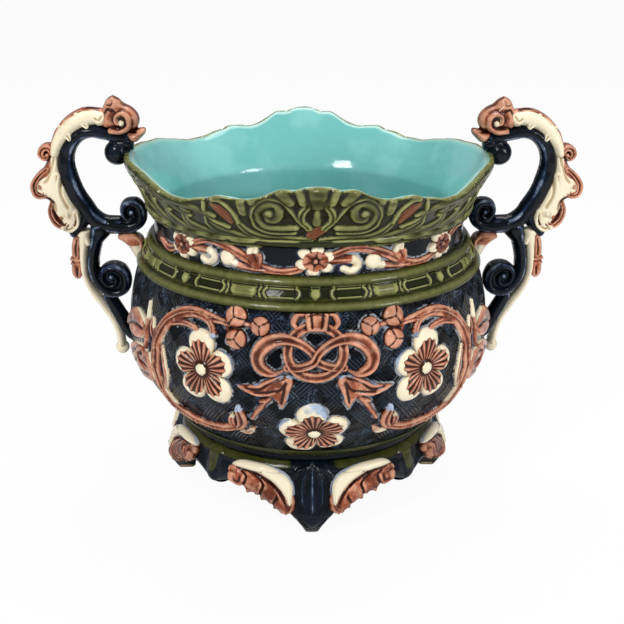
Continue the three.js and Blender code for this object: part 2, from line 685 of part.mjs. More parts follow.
const apronRadius = (angle) => BASE_RADIUS + APRON_SPREAD
  + (FOOT_SPREAD - APRON_SPREAD) * bell(fromFoot(angle), 10);

function apronSection(angle, grow) {
  const low = apronEdge(angle);
  const swell = apronRadius(angle);
  const swellHeight = Math.max(FOOT_SWELL_HEIGHT, low + 6);
  const seat = BASE_HEIGHT - JOINT_GAP;
  const setback = SOLE_SETBACK * (1 - low / APRON_ARCH) + 3 * (low / APRON_ARCH);
  const soleOuter = swell - setback;
  return [
    [soleOuter - SOLE_DEPTH - grow, low - grow],
    [soleOuter + grow, low - grow],
    [swell + grow, swellHeight],
    [BASE_RADIUS + APRON_NECK + grow, seat - APRON_BEND],
    [BASE_RADIUS - BASE_CORNER + grow, seat],
    [BASE_RADIUS - APRON_WALL, seat],
    [swell - setback / 2 - SOLE_DEPTH - 4, swellHeight + 4],
  ];
}

const apron = (grow) => turned((angle) => apronSection(angle, grow), footAngles, true);

// A shell's spine, in [angle from the foot, percent of the base's height].
const SHELL = [[38.5, 76], [32, 82], [25, 79], [18.5, 72], [13, 58], [9.8, 38]];

// Radius of the apron's outer face by height, on which the shells lie.
const apronFace = (angle, height) => THREE.MathUtils.lerp(
  BASE_RADIUS + APRON_SPREAD, BASE_RADIUS + APRON_NECK,
  THREE.MathUtils.clamp((height - BASE_HEIGHT + 2 * APRON_BEND) / APRON_BEND, 0, 1),
);

function shellScroll(side) {
  const shape = {
    width: (t) => SHELL_WIDTH * (0.25 + 0.75 * Math.sin(Math.PI * t) ** 0.8),
    rise: SHELL_RISE, steps: 7, radiusAt: apronFace,
  };
  const path = SHELL.map(([angle, percent]) => [angle * side, (percent / 100) * BASE_HEIGHT]);
  return strip(path, shape);
}

// ---- the handles, drawn flat as [out, up] from the rim's edge over the handle ----

const sideRadius = (height) => (height > NECK_TOP
  ? flarePoint(90, (height - NECK_TOP) / RIM_SIDE_RISE, NECK_RADIUS, 0)[0]
  : bodyRadius(height));

const ACANTHUS = [
  [49, 2.4], [54, 3.4], [59, 1.5], [58.5, -5.5], [55.5, -7], [61, -13], [66, -20], [67, -27],
  [65, -32], [59.5, -34], [55, -38], [53, -46], [48.5, -53], [41.5, -57.5], [34, -56.4],
  [33, -46], [37, -35], [41, -26], [45.5, -15], [46, -6], [44.6, 1],
];

// The drawing is made to the size of its furthest point, the tip of the acanthus.
const handleScale = HANDLE_REACH / Math.max(...ACANTHUS.map(([out]) => out));

// A root point: inside the pot's wall at this height of the drawing, whatever its radius.
const root = (up) => [
  (sideRadius(RIM_SIDE_HEIGHT + up * handleScale) - ROOT_BITE - RIM_SIDE_RADIUS) / handleScale, up,
];

const onHandle = ([out, up]) => [
  RIM_SIDE_RADIUS + out * handleScale, RIM_SIDE_HEIGHT + up * handleScale,
];

// A bevelled plate with the drawn outline, centred on the handle's middle plane y = 0.
function plate(outline, thickness, bevel = PLATE_BEVEL, grow = 0) {
  const shape = new THREE.Shape(outline.map((point) => new THREE.Vector2(...onHandle(point))));
  const flat = new THREE.ExtrudeGeometry(shape, {
    depth: thickness - 2 * bevel, bevelEnabled: true, bevelSegments: 1,
    bevelThickness: bevel, bevelSize: bevel, bevelOffset: grow - bevel,
  });
  return solidOf(flat.translate(0, 0, bevel - thickness / 2).rotateX(Math.PI / 2));
}

// A tool for cutting one handle piece clear of another: the same outline, grown, right through.
const clear = (outline) => plate(outline, 2 * FINIAL_THICKNESS, JOINT_GAP, JOINT_GAP);

const disc = (out, up, radius) => roundOutline(radius / handleScale, VOLUTE_STEPS)
  .map(([across, along]) => [out - across, up + along]);

const STRAP = [
  [35, -56], [35, -47], [39, -35], [43, -26], [47.5, -15], [48, -6], [45.5, 1.5], [39.5, 10.5],
  [31.5, 16.5], [21.5, 19], [13, 18.5], [4, 14], [-1.5, 9], root(0), root(-6), [2, -8.6],
  [8, -6.5], [11.8, -1], [13.5, 6], [18, 9], [25, 9], [31, 5], [34, -1], [34.5, -13], [31.5, -26],
  [27, -37], [20, -44], [12, -46.4], [4, -46], [4, -57], [12, -58.4], [19, -55],
];
const UPPER_VOLUTE = disc(-5, -45.5, VOLUTE_RADIUS);
const UPPER_VOLUTE_ROOT = [root(-40), [-5, -40], [-5, -52], root(-52)];
const CREST_LEAF = [
  [14.5, 30], [22.5, 29.5], [31.5, 26], [40, 19], [46, 10], [49.5, 2.5], [45, 0], [38, 9],
  [30, 14], [21, 16.5], [13.5, 17],
];
const FINIAL = [
  [14, 17], [14.2, 30], [12.5, 34.5], [7.5, 38.6], [3, 36.5], [-0.5, 31.5], [-6.5, 28], [-10, 21.5],
  [-9.4, 17.4], [-12.8, 16.6], [-15, 13], [-12, 9.6], [-6, 6.4], [-2, 9], [4, 13.5],
];
const LOWER_SCROLL = [
  [10.5, -58.6], [9.5, -61.5], [14, -65], [19, -69], [22.5, -75], [21.5, -81], [16, -83], [12, -100],
  [20, -105], [23, -102.5], [28, -97], [31, -88], [31, -77], [28.5, -69], [27, -60], [26, -57.5],
];
const LOWER_VOLUTE = disc(11, -93, LOWER_VOLUTE_RADIUS);
const RIB = [
  [27.5, -58], [35, -59], [35.5, -68], [35.5, -80], [36, -92], [30, -103], [22, -115], [15, -124.5],
  [11.5, -134], [10.5, -140], [4.5, -140], [5, -134], [8, -125], [12.5, -116], [18, -107], [25, -100],
  [31, -91], [31, -80], [30, -69],
];
const PINK_RIBBON = [
  [36.6, -60], [39.5, -60], [41, -69], [42, -77], [40, -79], [42.5, -84], [43, -89], [40, -93.5],
  [36.6, -92], [36, -80], [36, -68],
];
const STRUT = [
  [19, -104], [16, -110], [11.5, -118], [7, -127], [3.5, -135], root(-139), root(-128), [1, -119],
  [5, -110], [7, -103],
];
const BRACKET = [
  [9, -62], [4, -58.6], [-4, -57], [-10, -61], root(-66), root(-80), [-7, -82.5], [-4, -77],
  [-1.5, -72], [4, -66],
];
const BUD_PLACE = [7.5, -142.5];

const potBlock = join(bowlBlock, lowerRoll(JOINT_GAP), upperRoll(JOINT_GAP),
  bandRing(3 * JOINT_GAP + BEAD_RISE), collar(JOINT_GAP));

function bud(grow = 0) {
  const [radius, height] = onHandle(BUD_PLACE);
  const ball = new THREE.SphereGeometry(BUD_RADIUS + grow, 8, 5).rotateX(Math.PI / 2);
  return solidOf(ball.translate(radius, 0, height));
}

const upperVolute = join(plate(UPPER_VOLUTE, VOLUTE_THICKNESS),
  plate(UPPER_VOLUTE_ROOT, VOLUTE_THICKNESS - 4));
const lowerScroll = join(plate(LOWER_SCROLL, STRAP_THICKNESS), plate(LOWER_VOLUTE, VOLUTE_THICKNESS));

const handlePieces = {
  strap: [plate(STRAP, STRAP_THICKNESS), [clear(UPPER_VOLUTE)], navy],
  upper_volute: [upperVolute, [], navy],
  crest_leaf: [plate(CREST_LEAF, LEAF_THICKNESS), [clear(STRAP), clear(ACANTHUS)], cream],
  acanthus: [plate(ACANTHUS, LEAF_THICKNESS), [clear(STRAP)], cream],
  finial: [plate(FINIAL, FINIAL_THICKNESS), [clear(STRAP), clear(CREST_LEAF)], terracotta],
  lower_scroll: [lowerScroll, [clear(STRAP)], navy],
  outer_rib: [plate(RIB, RIB_THICKNESS),
    [clear(LOWER_SCROLL), clear(STRAP), clear(LOWER_VOLUTE), clear(ACANTHUS), bud(JOINT_GAP)], cream],
  ribbon: [plate(PINK_RIBBON, RIBBON_THICKNESS, RIBBON_BEVEL), [clear(RIB), clear(ACANTHUS)], terracotta],
  strut: [plate(STRUT, STRAP_THICKNESS - 2),
    [clear(RIB), clear(LOWER_SCROLL), clear(LOWER_VOLUTE), bud(JOINT_GAP)], navy],
  bracket: [plate(BRACKET, STRAP_THICKNESS),
    [clear(STRAP), clear(UPPER_VOLUTE), clear(LOWER_SCROLL), clear(UPPER_VOLUTE_ROOT)], terracotta],
  bud: [bud(), [], cream],
};

// ---- assembly ----

const jardiniere = new THREE.Group();

function addPiece(name, solid, material, parent = jardiniere) {
  const mesh = new THREE.Mesh(geometryOf(solid), material);
  mesh.name = name;
  parent.add(mesh);
}

addPiece('bowl_body', bowlBody, navy());
addPiece('rim_border', join(collar(0), ...rimRelief()), olive());
addPiece('neck_roll_upper', upperRoll(0), olive());
addPiece('fluted_band', flutedBand(), olive());
addPiece('neck_roll_lower', lowerRoll(0), olive());
const baseRoll = (grow) => roll(
  BELLY_BOTTOM, BELLY_BOTTOM + BASE_ROLL_HEIGHT, BASE_ROLL_RISE, grow,
);
addPiece('base_roll', baseRoll(0), olive());
addPiece('foot_ring', apron(0), navy());

const apronBlock = apron(JOINT_GAP);
for (let foot = 0; foot < 4; foot += 1) {
  const turn = new THREE.Group();
  turn.rotation.z = (foot * Math.PI) / 2;
  jardiniere.add(turn);
  for (const side of [-1, 1]) {
    const hand = side < 0 ? 'left' : 'right';
    const shell = mainBody(cut(shellScroll(side), apronBlock, bowlBlock, baseRoll(JOINT_GAP)));
    addPiece(`foot_${foot + 1}_shell_${hand}`, shell, cream(), turn);
  }
}

for (const [face, turnAngle] of Object.entries({ front: 0, back: Math.PI })) {
  const turn = new THREE.Group();
  turn.rotation.z = turnAngle;
  jardiniere.add(turn);
  const [lowFlowerPlace] = placed([LOW_FLOWER], 1);
  const clearLowFlower = flower(lowFlowerPlace, LOW_FLOWER_RADIUS, JOINT_GAP);
  addPiece(`${face}_knot`, cut(knot(), lowerRoll(JOINT_GAP)), terracotta(), turn);
  addPiece(`${face}_low_flower`, flower(lowFlowerPlace, LOW_FLOWER_RADIUS), cream(), turn);
  addPiece(`${face}_neck_frieze`, neckFrieze(), terracotta(), turn);
  for (const side of [-1, 1]) {
    const hand = side < 0 ? 'left' : 'right';
    const [flowerPlace] = placed([SIDE_FLOWER], side);
    const leaves = cut(bellLeaves(side), knot(JOINT_GAP), clearLowFlower);
    const scroll = cut(branch(side), bellLeaves(side, JOINT_GAP), knot(JOINT_GAP),
      flower(flowerPlace, FLOWER_RADIUS, JOINT_GAP));
    addPiece(`${face}_flower_${hand}`, flower(flowerPlace, FLOWER_RADIUS), cream(), turn);
    addPiece(`${face}_bell_leaves_${hand}`, leaves, terracotta(), turn);
    addPiece(`${face}_branch_${hand}`, scroll, terracotta(), turn);
    addPiece(`${face}_side_leaf_${hand}`, sideLeaf(side), cream(), turn);
  }
}

for (const [hand, turnAngle] of Object.entries({ right: 0, left: Math.PI })) {
  const turn = new THREE.Group();
  turn.rotation.z = turnAngle;
  jardiniere.add(turn);
  for (const [name, [solid, tools, material]] of Object.entries(handlePieces)) {
    addPiece(`handle_${hand}_${name}`, cut(solid, potBlock, ...tools), material(), turn);
  }
}

export default jardiniere;
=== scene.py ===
import math

import bmesh
import bpy
import numpy as np
from bpy.props import FloatProperty, FloatVectorProperty, PointerProperty
from mathutils import Matrix, kdtree


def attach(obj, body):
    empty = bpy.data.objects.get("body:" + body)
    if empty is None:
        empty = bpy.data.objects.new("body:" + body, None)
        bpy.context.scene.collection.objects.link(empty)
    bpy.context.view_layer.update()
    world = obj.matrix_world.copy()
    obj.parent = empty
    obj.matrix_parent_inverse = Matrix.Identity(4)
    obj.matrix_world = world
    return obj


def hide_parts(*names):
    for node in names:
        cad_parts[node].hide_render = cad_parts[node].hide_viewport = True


bl_info = {
    "name": "Majolica jardiniere",
    "version": (1, 0, 0),
    "blender": (4, 5, 0),
    "location": "View3D > Sidebar > Jardiniere",
    "description": "Models and glazes a two-handled majolica jardiniere round its CAD frame",
    "category": "Add Mesh",
}

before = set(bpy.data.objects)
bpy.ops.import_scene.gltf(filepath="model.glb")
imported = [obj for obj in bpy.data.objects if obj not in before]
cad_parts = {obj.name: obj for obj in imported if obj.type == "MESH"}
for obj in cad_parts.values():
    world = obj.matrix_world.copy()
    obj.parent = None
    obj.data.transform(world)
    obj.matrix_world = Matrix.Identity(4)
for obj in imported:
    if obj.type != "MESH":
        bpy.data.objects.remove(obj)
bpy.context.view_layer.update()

MM = 0.001
SLIP = 0.3  # gap that the CAD leaves between two luted pieces, millimetres

# ---- the pot's own curves, millimetres and degrees from the front, as in the CAD ----

BASE_TOP = 50.0
BASE_RADIUS = 91.0
BELLY_BOTTOM = 56.0
BELLY_HEIGHT = 120.0
BELLY_RADIUS = 126.5
SHOULDER_HEIGHT = 167.0
SHOULDER_RADIUS = 118.0
NECK_BOTTOM = 187.0
NECK_RADIUS = 107.0
NECK_TOP = 205.0
LOWER_ROLL_TOP = 173.0
UPPER_ROLL_BOTTOM = 181.0
WALL = 6.5
INSIDE_FLOOR = 58.0
RIM_RADIUS = 127.0
RIM_HEIGHT = 240.0
COLLAR_WALL = 3.8
GIRTH_DEGREE = BELLY_RADIUS * math.pi / 180


def wall_radius(height):
    """Outer radius of the bowl's wall at a height, from the underside to the top of the neck."""
    h = np.asarray(height, float)
    down = np.clip((BELLY_HEIGHT - h) / (BELLY_HEIGHT - BELLY_BOTTOM), 0, 1)
    lower = BELLY_RADIUS - (BELLY_RADIUS - BASE_RADIUS) * down ** 1.8
    up = np.clip((h - BELLY_HEIGHT) / (SHOULDER_HEIGHT - BELLY_HEIGHT), 0, 1)
    upper = BELLY_RADIUS - (BELLY_RADIUS - SHOULDER_RADIUS) * up ** 2
    lean = np.clip((h - SHOULDER_HEIGHT) / (NECK_BOTTOM - SHOULDER_HEIGHT), 0, 1)
    shoulder = SHOULDER_RADIUS + (NECK_RADIUS - SHOULDER_RADIUS) * lean
    return np.where(h < BELLY_HEIGHT, lower, np.where(h < SHOULDER_HEIGHT, upper, shoulder))


def bell(offset, spread):
    return np.exp(-((offset / spread) ** 2))


def folded(angle, period):
    """Angle from the nearest multiple of a period."""
    turned = np.mod(angle, period)
    return np.minimum(turned, period - turned)


def rim_edge(angle):
    """Radius and height of the rim's outer edge."""
    off = folded(angle, 180)
    radius = RIM_RADIUS + 13 * np.exp(-((off / 23) ** 1.5)) - 2.5 * bell(off - 62, 15)
    height = RIM_HEIGHT + 8 * np.exp(-((off / 20) ** 1.6)) - 8.8 * bell(off - 42, 16)
    return radius, height


def around(angle, radius, height):
    """Points [x, y, z] at angles in degrees from the front, turning towards +X."""
    a = np.radians(angle)
    return np.stack(np.broadcast_arrays(radius * np.sin(a), -radius * np.cos(a), height), -1)


# A surface that carries relief takes [angle, second coordinate] and gives points.
def on_wall(angle, height):
    return around(angle, wall_radius(height), height)


# ---- shader maths ----

class Value:
    """One socket of a glaze's node tree. Python's operators on it add Math nodes."""

    def __init__(self, glaze, socket):
        self.glaze = glaze
        self.socket = socket

    def math(self, operation, *others, clamp=False):
        return self.glaze.node("Math", {"operation": operation, "use_clamp": clamp}, self, *others)

    def __add__(self, other):
        return self.math("ADD", other)

    __radd__ = __add__

    def __mul__(self, other):
        return self.math("MULTIPLY", other)

    __rmul__ = __mul__

    def __sub__(self, other):
        return self.math("SUBTRACT", other)

    def __rsub__(self, other):
        return self.glaze.node("Math", {"operation": "SUBTRACT"}, other, self)

    def __truediv__(self, other):
        return self.math("DIVIDE", other)

    def __abs__(self):
        return self.math("ABSOLUTE")

    def clamped(self):
        return self.math("ADD", 0.0, clamp=True)

    def step(self, low, high):
        """Smooth rise from 0 at low to 1 at high; low may be the larger of the two."""
        if low > high:
            return 1 - self.step(high, low)
        return self.glaze.node(
            "MapRange", {"interpolation_type": "SMOOTHSTEP"}, self, low, high, 0.0, 1.0)


class Glaze:
    """A procedural material on a Principled BSDF."""

    def __init__(self, name, roughness=0.12, coat=0.0, gloss=0.24):
        self.material = bpy.data.materials.new(name)
        self.material.use_nodes = True
        self.tree = self.material.node_tree
        self.shader = self.tree.nodes["Principled BSDF"]
        self.shader.inputs["Coat Weight"].default_value = coat
        self.shader.inputs["Roughness"].default_value = roughness
        self.shader.inputs["Specular IOR Level"].default_value = gloss

    def node(self, kind, settings, *values, output=0, **named):
        """Adds a node: its settings first, then values or links by place or by name."""
        node = self.tree.nodes.new("ShaderNode" + kind)
        for key, setting in settings.items():
            setattr(node, key, setting)
        sockets = [s for s in node.inputs if s.enabled]
        pairs = list(zip(sockets, values)) + [(node.inputs[k], v) for k, v in named.items()]
        for socket, value in pairs:
            self.feed(socket, value)
        shown = [s for s in node.outputs if s.enabled]
        return Value(self, shown[output])

    def feed(self, socket, value):
        if isinstance(value, Value):
            self.tree.links.new(value.socket, socket)
        elif socket.type == "RGBA" and len(value) == 3:
            socket.default_value = (*value, 1.0)
        else:
            socket.default_value = value

    def read(self, name):
        """A number that the piece's mesh carries at each of its points."""
        return self.node("Attribute", {"attribute_name": name}, output=2)

    def place(self, scale=1.0):
        """Object coordinates in millimetres over scale."""
        where = self.node("TexCoord", {}, output=3)
        return self.node("VectorMath", {"operation": "SCALE"}, where, Scale=1000.0 / scale)

    def noise(self, size, detail=3.0, roughness=0.5, distortion=0.0):
        """Noise from 0 to 1 with cells of about size millimetres."""
        return self.node("TexNoise", {}, Vector=self.place(size), Scale=1.0, Detail=detail,
                         Roughness=roughness, Distortion=distortion)

    def mix(self, factor, first, second, blend="MIX"):
        return self.node("Mix", {"data_type": "RGBA", "blend_type": blend}, factor, first, second)

    def bump(self, height, distance, strength=1.0, normal=None):
        named = {"Height": height, "Distance": distance * MM, "Strength": strength}
        if normal is not None:
            named["Normal"] = normal
        return self.node("Bump", {}, **named)

    def finish(self, color, roughness=None, normal=None):
        self.feed(self.shader.inputs["Base Color"], color)
        if roughness is not None:
            self.feed(self.shader.inputs["Roughness"], roughness)
        if normal is not None:
            self.feed(self.shader.inputs["Normal"], normal)
        return self.material


def linear(color):
    """Linear colour of a colour that is given as 0 to 255 on the screen."""
    shares = [c / 255 for c in color]
    return tuple(s / 12.92 if s <= 0.04045 else ((s + 0.055) / 1.055) ** 2.4 for s in shares)


# ---- the glazes ----

# The deep olive, terracotta and cream are glaze pooled in hollows and also painted shade there; the
# palest olive and terracotta are glaze run thin over ridges and also painted highlights; NAVY_EDGE
# and BLUE_WHITE also serve as painted highlights along ridges of the navy.
NAVY = linear((9, 14, 20))
NAVY_EDGE = linear((42, 60, 90))
OLIVE_DEEP = linear((26, 29, 8))
OLIVE = linear((58, 60, 22))
OLIVE_THIN_AND_HIGHLIGHT = linear((162, 164, 102))
TERRACOTTA = linear((156, 78, 50))
TERRACOTTA_DEEP = linear((52, 22, 12))
TERRACOTTA_THIN_AND_HIGHLIGHT = linear((234, 174, 142))
CREAM = linear((242, 230, 200))
CREAM_DEEP = linear((196, 170, 128))
BLUE_WHITE = linear((178, 194, 214))
TURQUOISE = linear((112, 184, 180))
TURQUOISE_DEEP = linear((52, 124, 126))


def glaze_skin(glaze, normal_height=None):
    """Faint waviness and pinholes of a glossy fired glaze."""
    waves = glaze.noise(9.0, 2.0)
    grain = glaze.noise(0.9, 2.0)
    height = waves * 0.75 + grain * 0.12
    if normal_height is not None:
        height = height + normal_height
    return glaze.bump(height, 0.55)


def tint(name):
    """A main colour of the glazes, as the sidebar holds it."""
    return tuple(getattr(bpy.context.scene.jardiniere, name))


def relief_glaze(name, warm_deep=TERRACOTTA_DEEP, warm_thin_and_highlight=TERRACOTTA_THIN_AND_HIGHLIGHT):
    """Painted relief: terracotta, cream, navy and blue-white glazes laid side by side by hand.

    The mesh says how much of each lies at a point, where glaze has pooled and where it ran thin;
    painted shade goes with the pooled glaze, and painted highlights with the thin.
    """
    glaze = Glaze(name)
    brushed = glaze.noise(6.0, 4.0, 0.6)
    mottle = glaze.noise(17.0, 3.0)
    wander = (brushed - 0.5) * 0.55

    def share(tone):
        return (glaze.read(tone) + wander).step(0.38, 0.62)

    pool, crest = glaze.read("pool"), glaze.read("crest")
    burnt = glaze.mix(mottle.step(0.4, 0.58), linear((108, 50, 30)), tint("terracotta"))
    color = glaze.mix((brushed + mottle * 0.5).step(0.7, 0.95) * 0.6, burnt, warm_thin_and_highlight)
    # Pool darkens the hollows with pooled glaze and painted shade, and crest lightens the ridges
    # with thin glaze and painted highlights, in the terracotta, the cream and the navy alike.
    color = glaze.mix((pool * 1.5 + wander * 0.7).clamped(), color, warm_deep)
    color = glaze.mix((crest * 0.9 + wander * 1.3 - 0.3).clamped() * 0.9, color, warm_thin_and_highlight)
    cream = glaze.mix((pool * 0.9 + mottle.step(0.55, 0.8) * 0.22).clamped(), tint("cream"),
                       CREAM_DEEP)
    color = glaze.mix(share("cream"), color, cream)
    blue = glaze.mix(mottle.step(0.4, 0.7), BLUE_WHITE, NAVY_EDGE)
    color = glaze.mix(share("blue"), color, blue)
    navy = glaze.mix((crest * 0.9 + wander).clamped(), tint("navy"), NAVY_EDGE)
    color = glaze.mix(share("navy"), color, navy)
    spots = glaze.noise(1.7, 1.0).step(0.74, 0.8) * mottle.step(0.45, 0.6)
    color = glaze.mix(spots * 0.55, color, warm_deep)
    roughness = 0.1 + brushed * 0.09
    return glaze.finish(color, roughness, glaze_skin(glaze))


def olive_glaze():
    """Translucent green-brown glaze: nearly black in the hollows, straw-coloured on the ridges,
    with painted shade in those hollows and painted highlights on those ridges.
    """
    glaze = Glaze("olive_glaze", gloss=0.2)
    pool, crest = glaze.read("pool"), glaze.read("crest")
    mottle = glaze.noise(21.0, 3.0)
    brushed = glaze.noise(4.5, 4.0, 0.6)
    wander = (brushed - 0.5) * 0.5
    color = glaze.mix(mottle.step(0.42, 0.6), tint("olive"), linear((44, 50, 18)))
    # Pooled glaze and painted shade in the hollows, thin glaze and painted highlights on the
    # ridges.
    color = glaze.mix((pool + wander * 0.5).clamped(), color, OLIVE_DEEP)
    color = glaze.mix((crest * 1.1 + wander - 0.1).clamped() * 0.85, color, OLIVE_THIN_AND_HIGHLIGHT)
    color = glaze.mix((glaze.read("red") + wander).step(0.4, 0.7) * 0.8, color,
                      linear((128, 66, 44)))
    color = glaze.mix((glaze.read("navy") + wander).step(0.4, 0.7), color, tint("navy"))
    chips = glaze.noise(2.4, 2.0).step(0.62, 0.7) * glaze.read("edge").step(0.72, 0.95)
    color = glaze.mix(chips * 0.8, color, linear((214, 204, 170)))
    roughness = 0.11 + brushed * 0.08
    return glaze.finish(color, roughness, glaze_skin(glaze))


DIAPER = 23.0  # millimetres between two crossings of the lozenge bands, along a band
DIAPER_BAND = 5.6  # half the width of a band
DIAPER_LINE = 2.2  # from one moulded line to the next


def diaper_lines(glaze):
    """Moulded lines of the lozenge diaper and, between its bands, worm-like tooling; 0 to 1."""
    girth, rise = glaze.read("girth"), glaze.read("rise")

    def from_band(position):
        return abs(position.math("WRAP", DIAPER / 2, -DIAPER / 2))

    first = from_band((girth + rise) * math.sqrt(0.5))
    second = from_band((girth - rise) * math.sqrt(0.5))
    in_first, in_second = (d.step(DIAPER_BAND + 0.3, DIAPER_BAND - 0.3) for d in (first, second))
    nested = first.math("MAXIMUM", second)
    across = in_first * in_second * nested + in_first * (1 - in_second) * first \
        + in_second * (1 - in_first) * second
    lines = (across * (2 * math.pi / DIAPER_LINE)).math("COSINE") * 0.5 + 0.5
    worms = 1 - abs(glaze.noise(2.6, 1.0, 0.4, 1.2) - 0.5).step(0.015, 0.1)
    banded = in_first.math("MAXIMUM", in_second)
    return lines, worms, banded


def ground_glaze():
    """Near-black navy glaze over the diaper, blue-white where it thins beside the relief, with a
    painted reflection there; its moulded lines carry painted glints.
    """
    glaze = Glaze("navy_ground_glaze", gloss=0.14)
    lines, worms, banded = diaper_lines(glaze)
    bare = glaze.read("bare")
    tooling = (lines * banded + worms * (1 - banded)) * (1 - bare)
    brushed = glaze.noise(5.0, 4.0, 0.6)
    patches = glaze.noise(13.0, 2.0)
    color = glaze.mix(patches.step(0.45, 0.75) * 0.4, tint("navy"), linear((15, 24, 36)))
    # Pale along the moulded lines and the worm tooling: glaze thinned over them, and painted
    # glints.
    thin = (lines * banded * patches.step(0.4, 0.6) * 0.24
            + worms * (1 - banded) * patches.step(0.46, 0.62) * 0.6)
    color = glaze.mix(thin.clamped() * (1 - bare), color, linear((96, 114, 138)))
    color = glaze.mix(glaze.read("olive").step(0.3, 0.7), color, tint("olive"))
    # The halo beside the relief is thinned glaze and a painted reflection.
    halo = (glaze.read("halo") + (brushed - 0.5) * 1.1).step(0.55, 0.9)
    pale = glaze.mix(patches.step(0.4, 0.6), linear((206, 214, 222)), NAVY_EDGE)
    color = glaze.mix(halo * 0.62, color, pale)
    normal = glaze.bump(tooling, 0.9, 1.0, glaze_skin(glaze))
    return glaze.finish(color, 0.1 + brushed * 0.08, normal)


def lining_glaze():
    """Clear turquoise majolica glaze, cloudy and a little deeper towards the bottom."""
    glaze = Glaze("turquoise_glaze", coat=0.3)
    clouds = glaze.noise(46.0, 3.0, 0.55)
    fine = glaze.noise(12.0, 3.0)
    depth = glaze.read("deep")
    color = glaze.mix((clouds.step(0.42, 0.6) * 0.6), tint("turquoise"), linear((142, 204, 200)))
    color = glaze.mix((depth + (clouds - 0.5) * 0.5).clamped() * 0.75, color, TURQUOISE_DEEP)
    color = glaze.mix(glaze.read("edge").step(0.5, 1.0) * 0.5, color, linear((168, 190, 170)))
    specks = glaze.noise(1.4, 1.0).step(0.77, 0.81) * clouds.step(0.4, 0.6)
    color = glaze.mix(specks * 0.5, color, linear((96, 122, 108)))
    skin = glaze.bump(clouds * 2.6 + fine * 0.35, 0.6)
    return glaze.finish(color, 0.1 + fine * 0.06, skin)


def dark_glaze(name):
    """Navy glaze that thins to blue-white along ridges, with painted highlights on them too; olive,
    and bare biscuit, where painted.
    """
    glaze = Glaze(name, gloss=0.2)
    pool, crest = glaze.read("pool"), glaze.read("crest")
    brushed = glaze.noise(5.0, 4.0, 0.6)
    patches = glaze.noise(16.0, 3.0)
    wander = (brushed - 0.5) * 0.9
    color = glaze.mix(patches.step(0.42, 0.75) * 0.6, tint("navy"), linear((20, 30, 48)))
    # Ridges turn blue and blue-white: thin glaze and painted highlights.
    color = glaze.mix((crest + wander).step(0.45, 1.0) * 0.8, color, NAVY_EDGE)
    color = glaze.mix((crest + wander).step(0.85, 1.25) * 0.75, color, BLUE_WHITE)
    # The olive: pooled glaze and painted shade in the hollows, thin glaze and painted highlights on
    # the ridges.
    olive = glaze.mix((pool + patches.step(0.4, 0.8) * 0.5).clamped(), tint("olive"), OLIVE_DEEP)
    olive = glaze.mix((crest + wander * 0.5).clamped() * 0.5, olive, OLIVE_THIN_AND_HIGHLIGHT)
    color = glaze.mix((glaze.read("olive") + wander * 0.6).step(0.35, 0.7), color, olive)
    grain = glaze.noise(0.8, 3.0)
    biscuit = glaze.mix(grain * 0.5, linear((206, 186, 150)), linear((168, 142, 106)))
    bare = (glaze.read("bare") + wander * 0.4).step(0.4, 0.6)
    color = glaze.mix(bare, color, biscuit)
    return glaze.finish(color, 0.1 + brushed * 0.09 + bare * 0.5, glaze_skin(glaze))


# ---- meshes ----

OUTLINES = {}  # by mesh name: where each relief meets the wall, for the pale line round it, thinned glaze with a painted reflection

# The pool tone carries glaze pooled in hollows together with painted shade; crest carries glaze run
# thin over ridges together with painted highlights.
TONES = ("cream", "navy", "blue", "olive", "red", "pool", "crest", "edge", "halo", "bare",
         "deep", "girth", "rise")


def points_of(mesh):
    flat = np.empty(len(mesh.vertices) * 3, np.float32)
    mesh.vertices.foreach_get("co", flat)
    return flat.reshape(-1, 3).astype(float)


def move_points(mesh, points):
    mesh.vertices.foreach_set("co", np.asarray(points, np.float32).ravel())


def write_tone(mesh, name, numbers):
    layer = mesh.attributes.get(name) or mesh.attributes.new(name, "FLOAT", "POINT")
    layer.data.foreach_set("value", np.asarray(numbers, np.float32).ravel())


def sheet(columns, rows):
    """A flat grid and, for each of its points, two shares from 0 to 1 along its sides."""
    bm = bmesh.new()
    bmesh.ops.create_grid(bm, x_segments=columns, y_segments=rows, size=0.5)
    mesh = bpy.data.meshes.new("sheet")
    bm.to_mesh(mesh)
    bm.free()
    flat = points_of(mesh)
    return mesh, flat[:, 0] + 0.5, flat[:, 1] + 0.5


SEAM = .02  # points of a seam that lie this close are merged, millimetres


def tidy(mesh, weld=0.0, recalculate=True):
    """Merges seams and poles and points the faces outwards."""
    bm = bmesh.new()
    bm.from_mesh(mesh)
    if weld:
        bmesh.ops.remove_doubles(bm, verts=bm.verts, dist=weld)
    if recalculate:
        bmesh.ops.recalc_face_normals(bm, faces=bm.faces)
    bm.to_mesh(mesh)
    bm.free()


def add_piece(name, mesh, material, nodes, slot, smooth=True):
    """Puts a finished mesh, still in millimetres, in the scene as one piece of the object."""
    if mesh.name in OUTLINES:
        OUTLINES[name] = OUTLINES.pop(mesh.name)
    mesh.name = name
    mesh.transform(Matrix.Scale(MM, 4))
    mesh.materials.clear()
    mesh.materials.append(material)
    mesh.shade_smooth() if smooth else mesh.shade_flat()
    piece = bpy.data.objects.new(name, mesh)
    bpy.context.scene.collection.objects.link(piece)
    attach(piece, "root")
    if nodes:
        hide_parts(*nodes)
    return piece


def turned_copy(mesh, angle=0.0, mirrored=False):
    """A copy turned about the pot's axis, and mirrored from right to left first if asked."""
    copy = mesh.copy()
    flip = np.diag((-1.0 if mirrored else 1.0, 1.0, 1.0))
    turn = np.array(Matrix.Rotation(math.radians(angle), 3, "Z"))
    move_points(copy, points_of(copy) @ (turn @ flip).T)
    if mesh.name in OUTLINES:
        OUTLINES[copy.name] = OUTLINES[mesh.name] @ (turn @ flip).T
    if mirrored:
        copy.flip_normals()
    copy.update()
    return copy


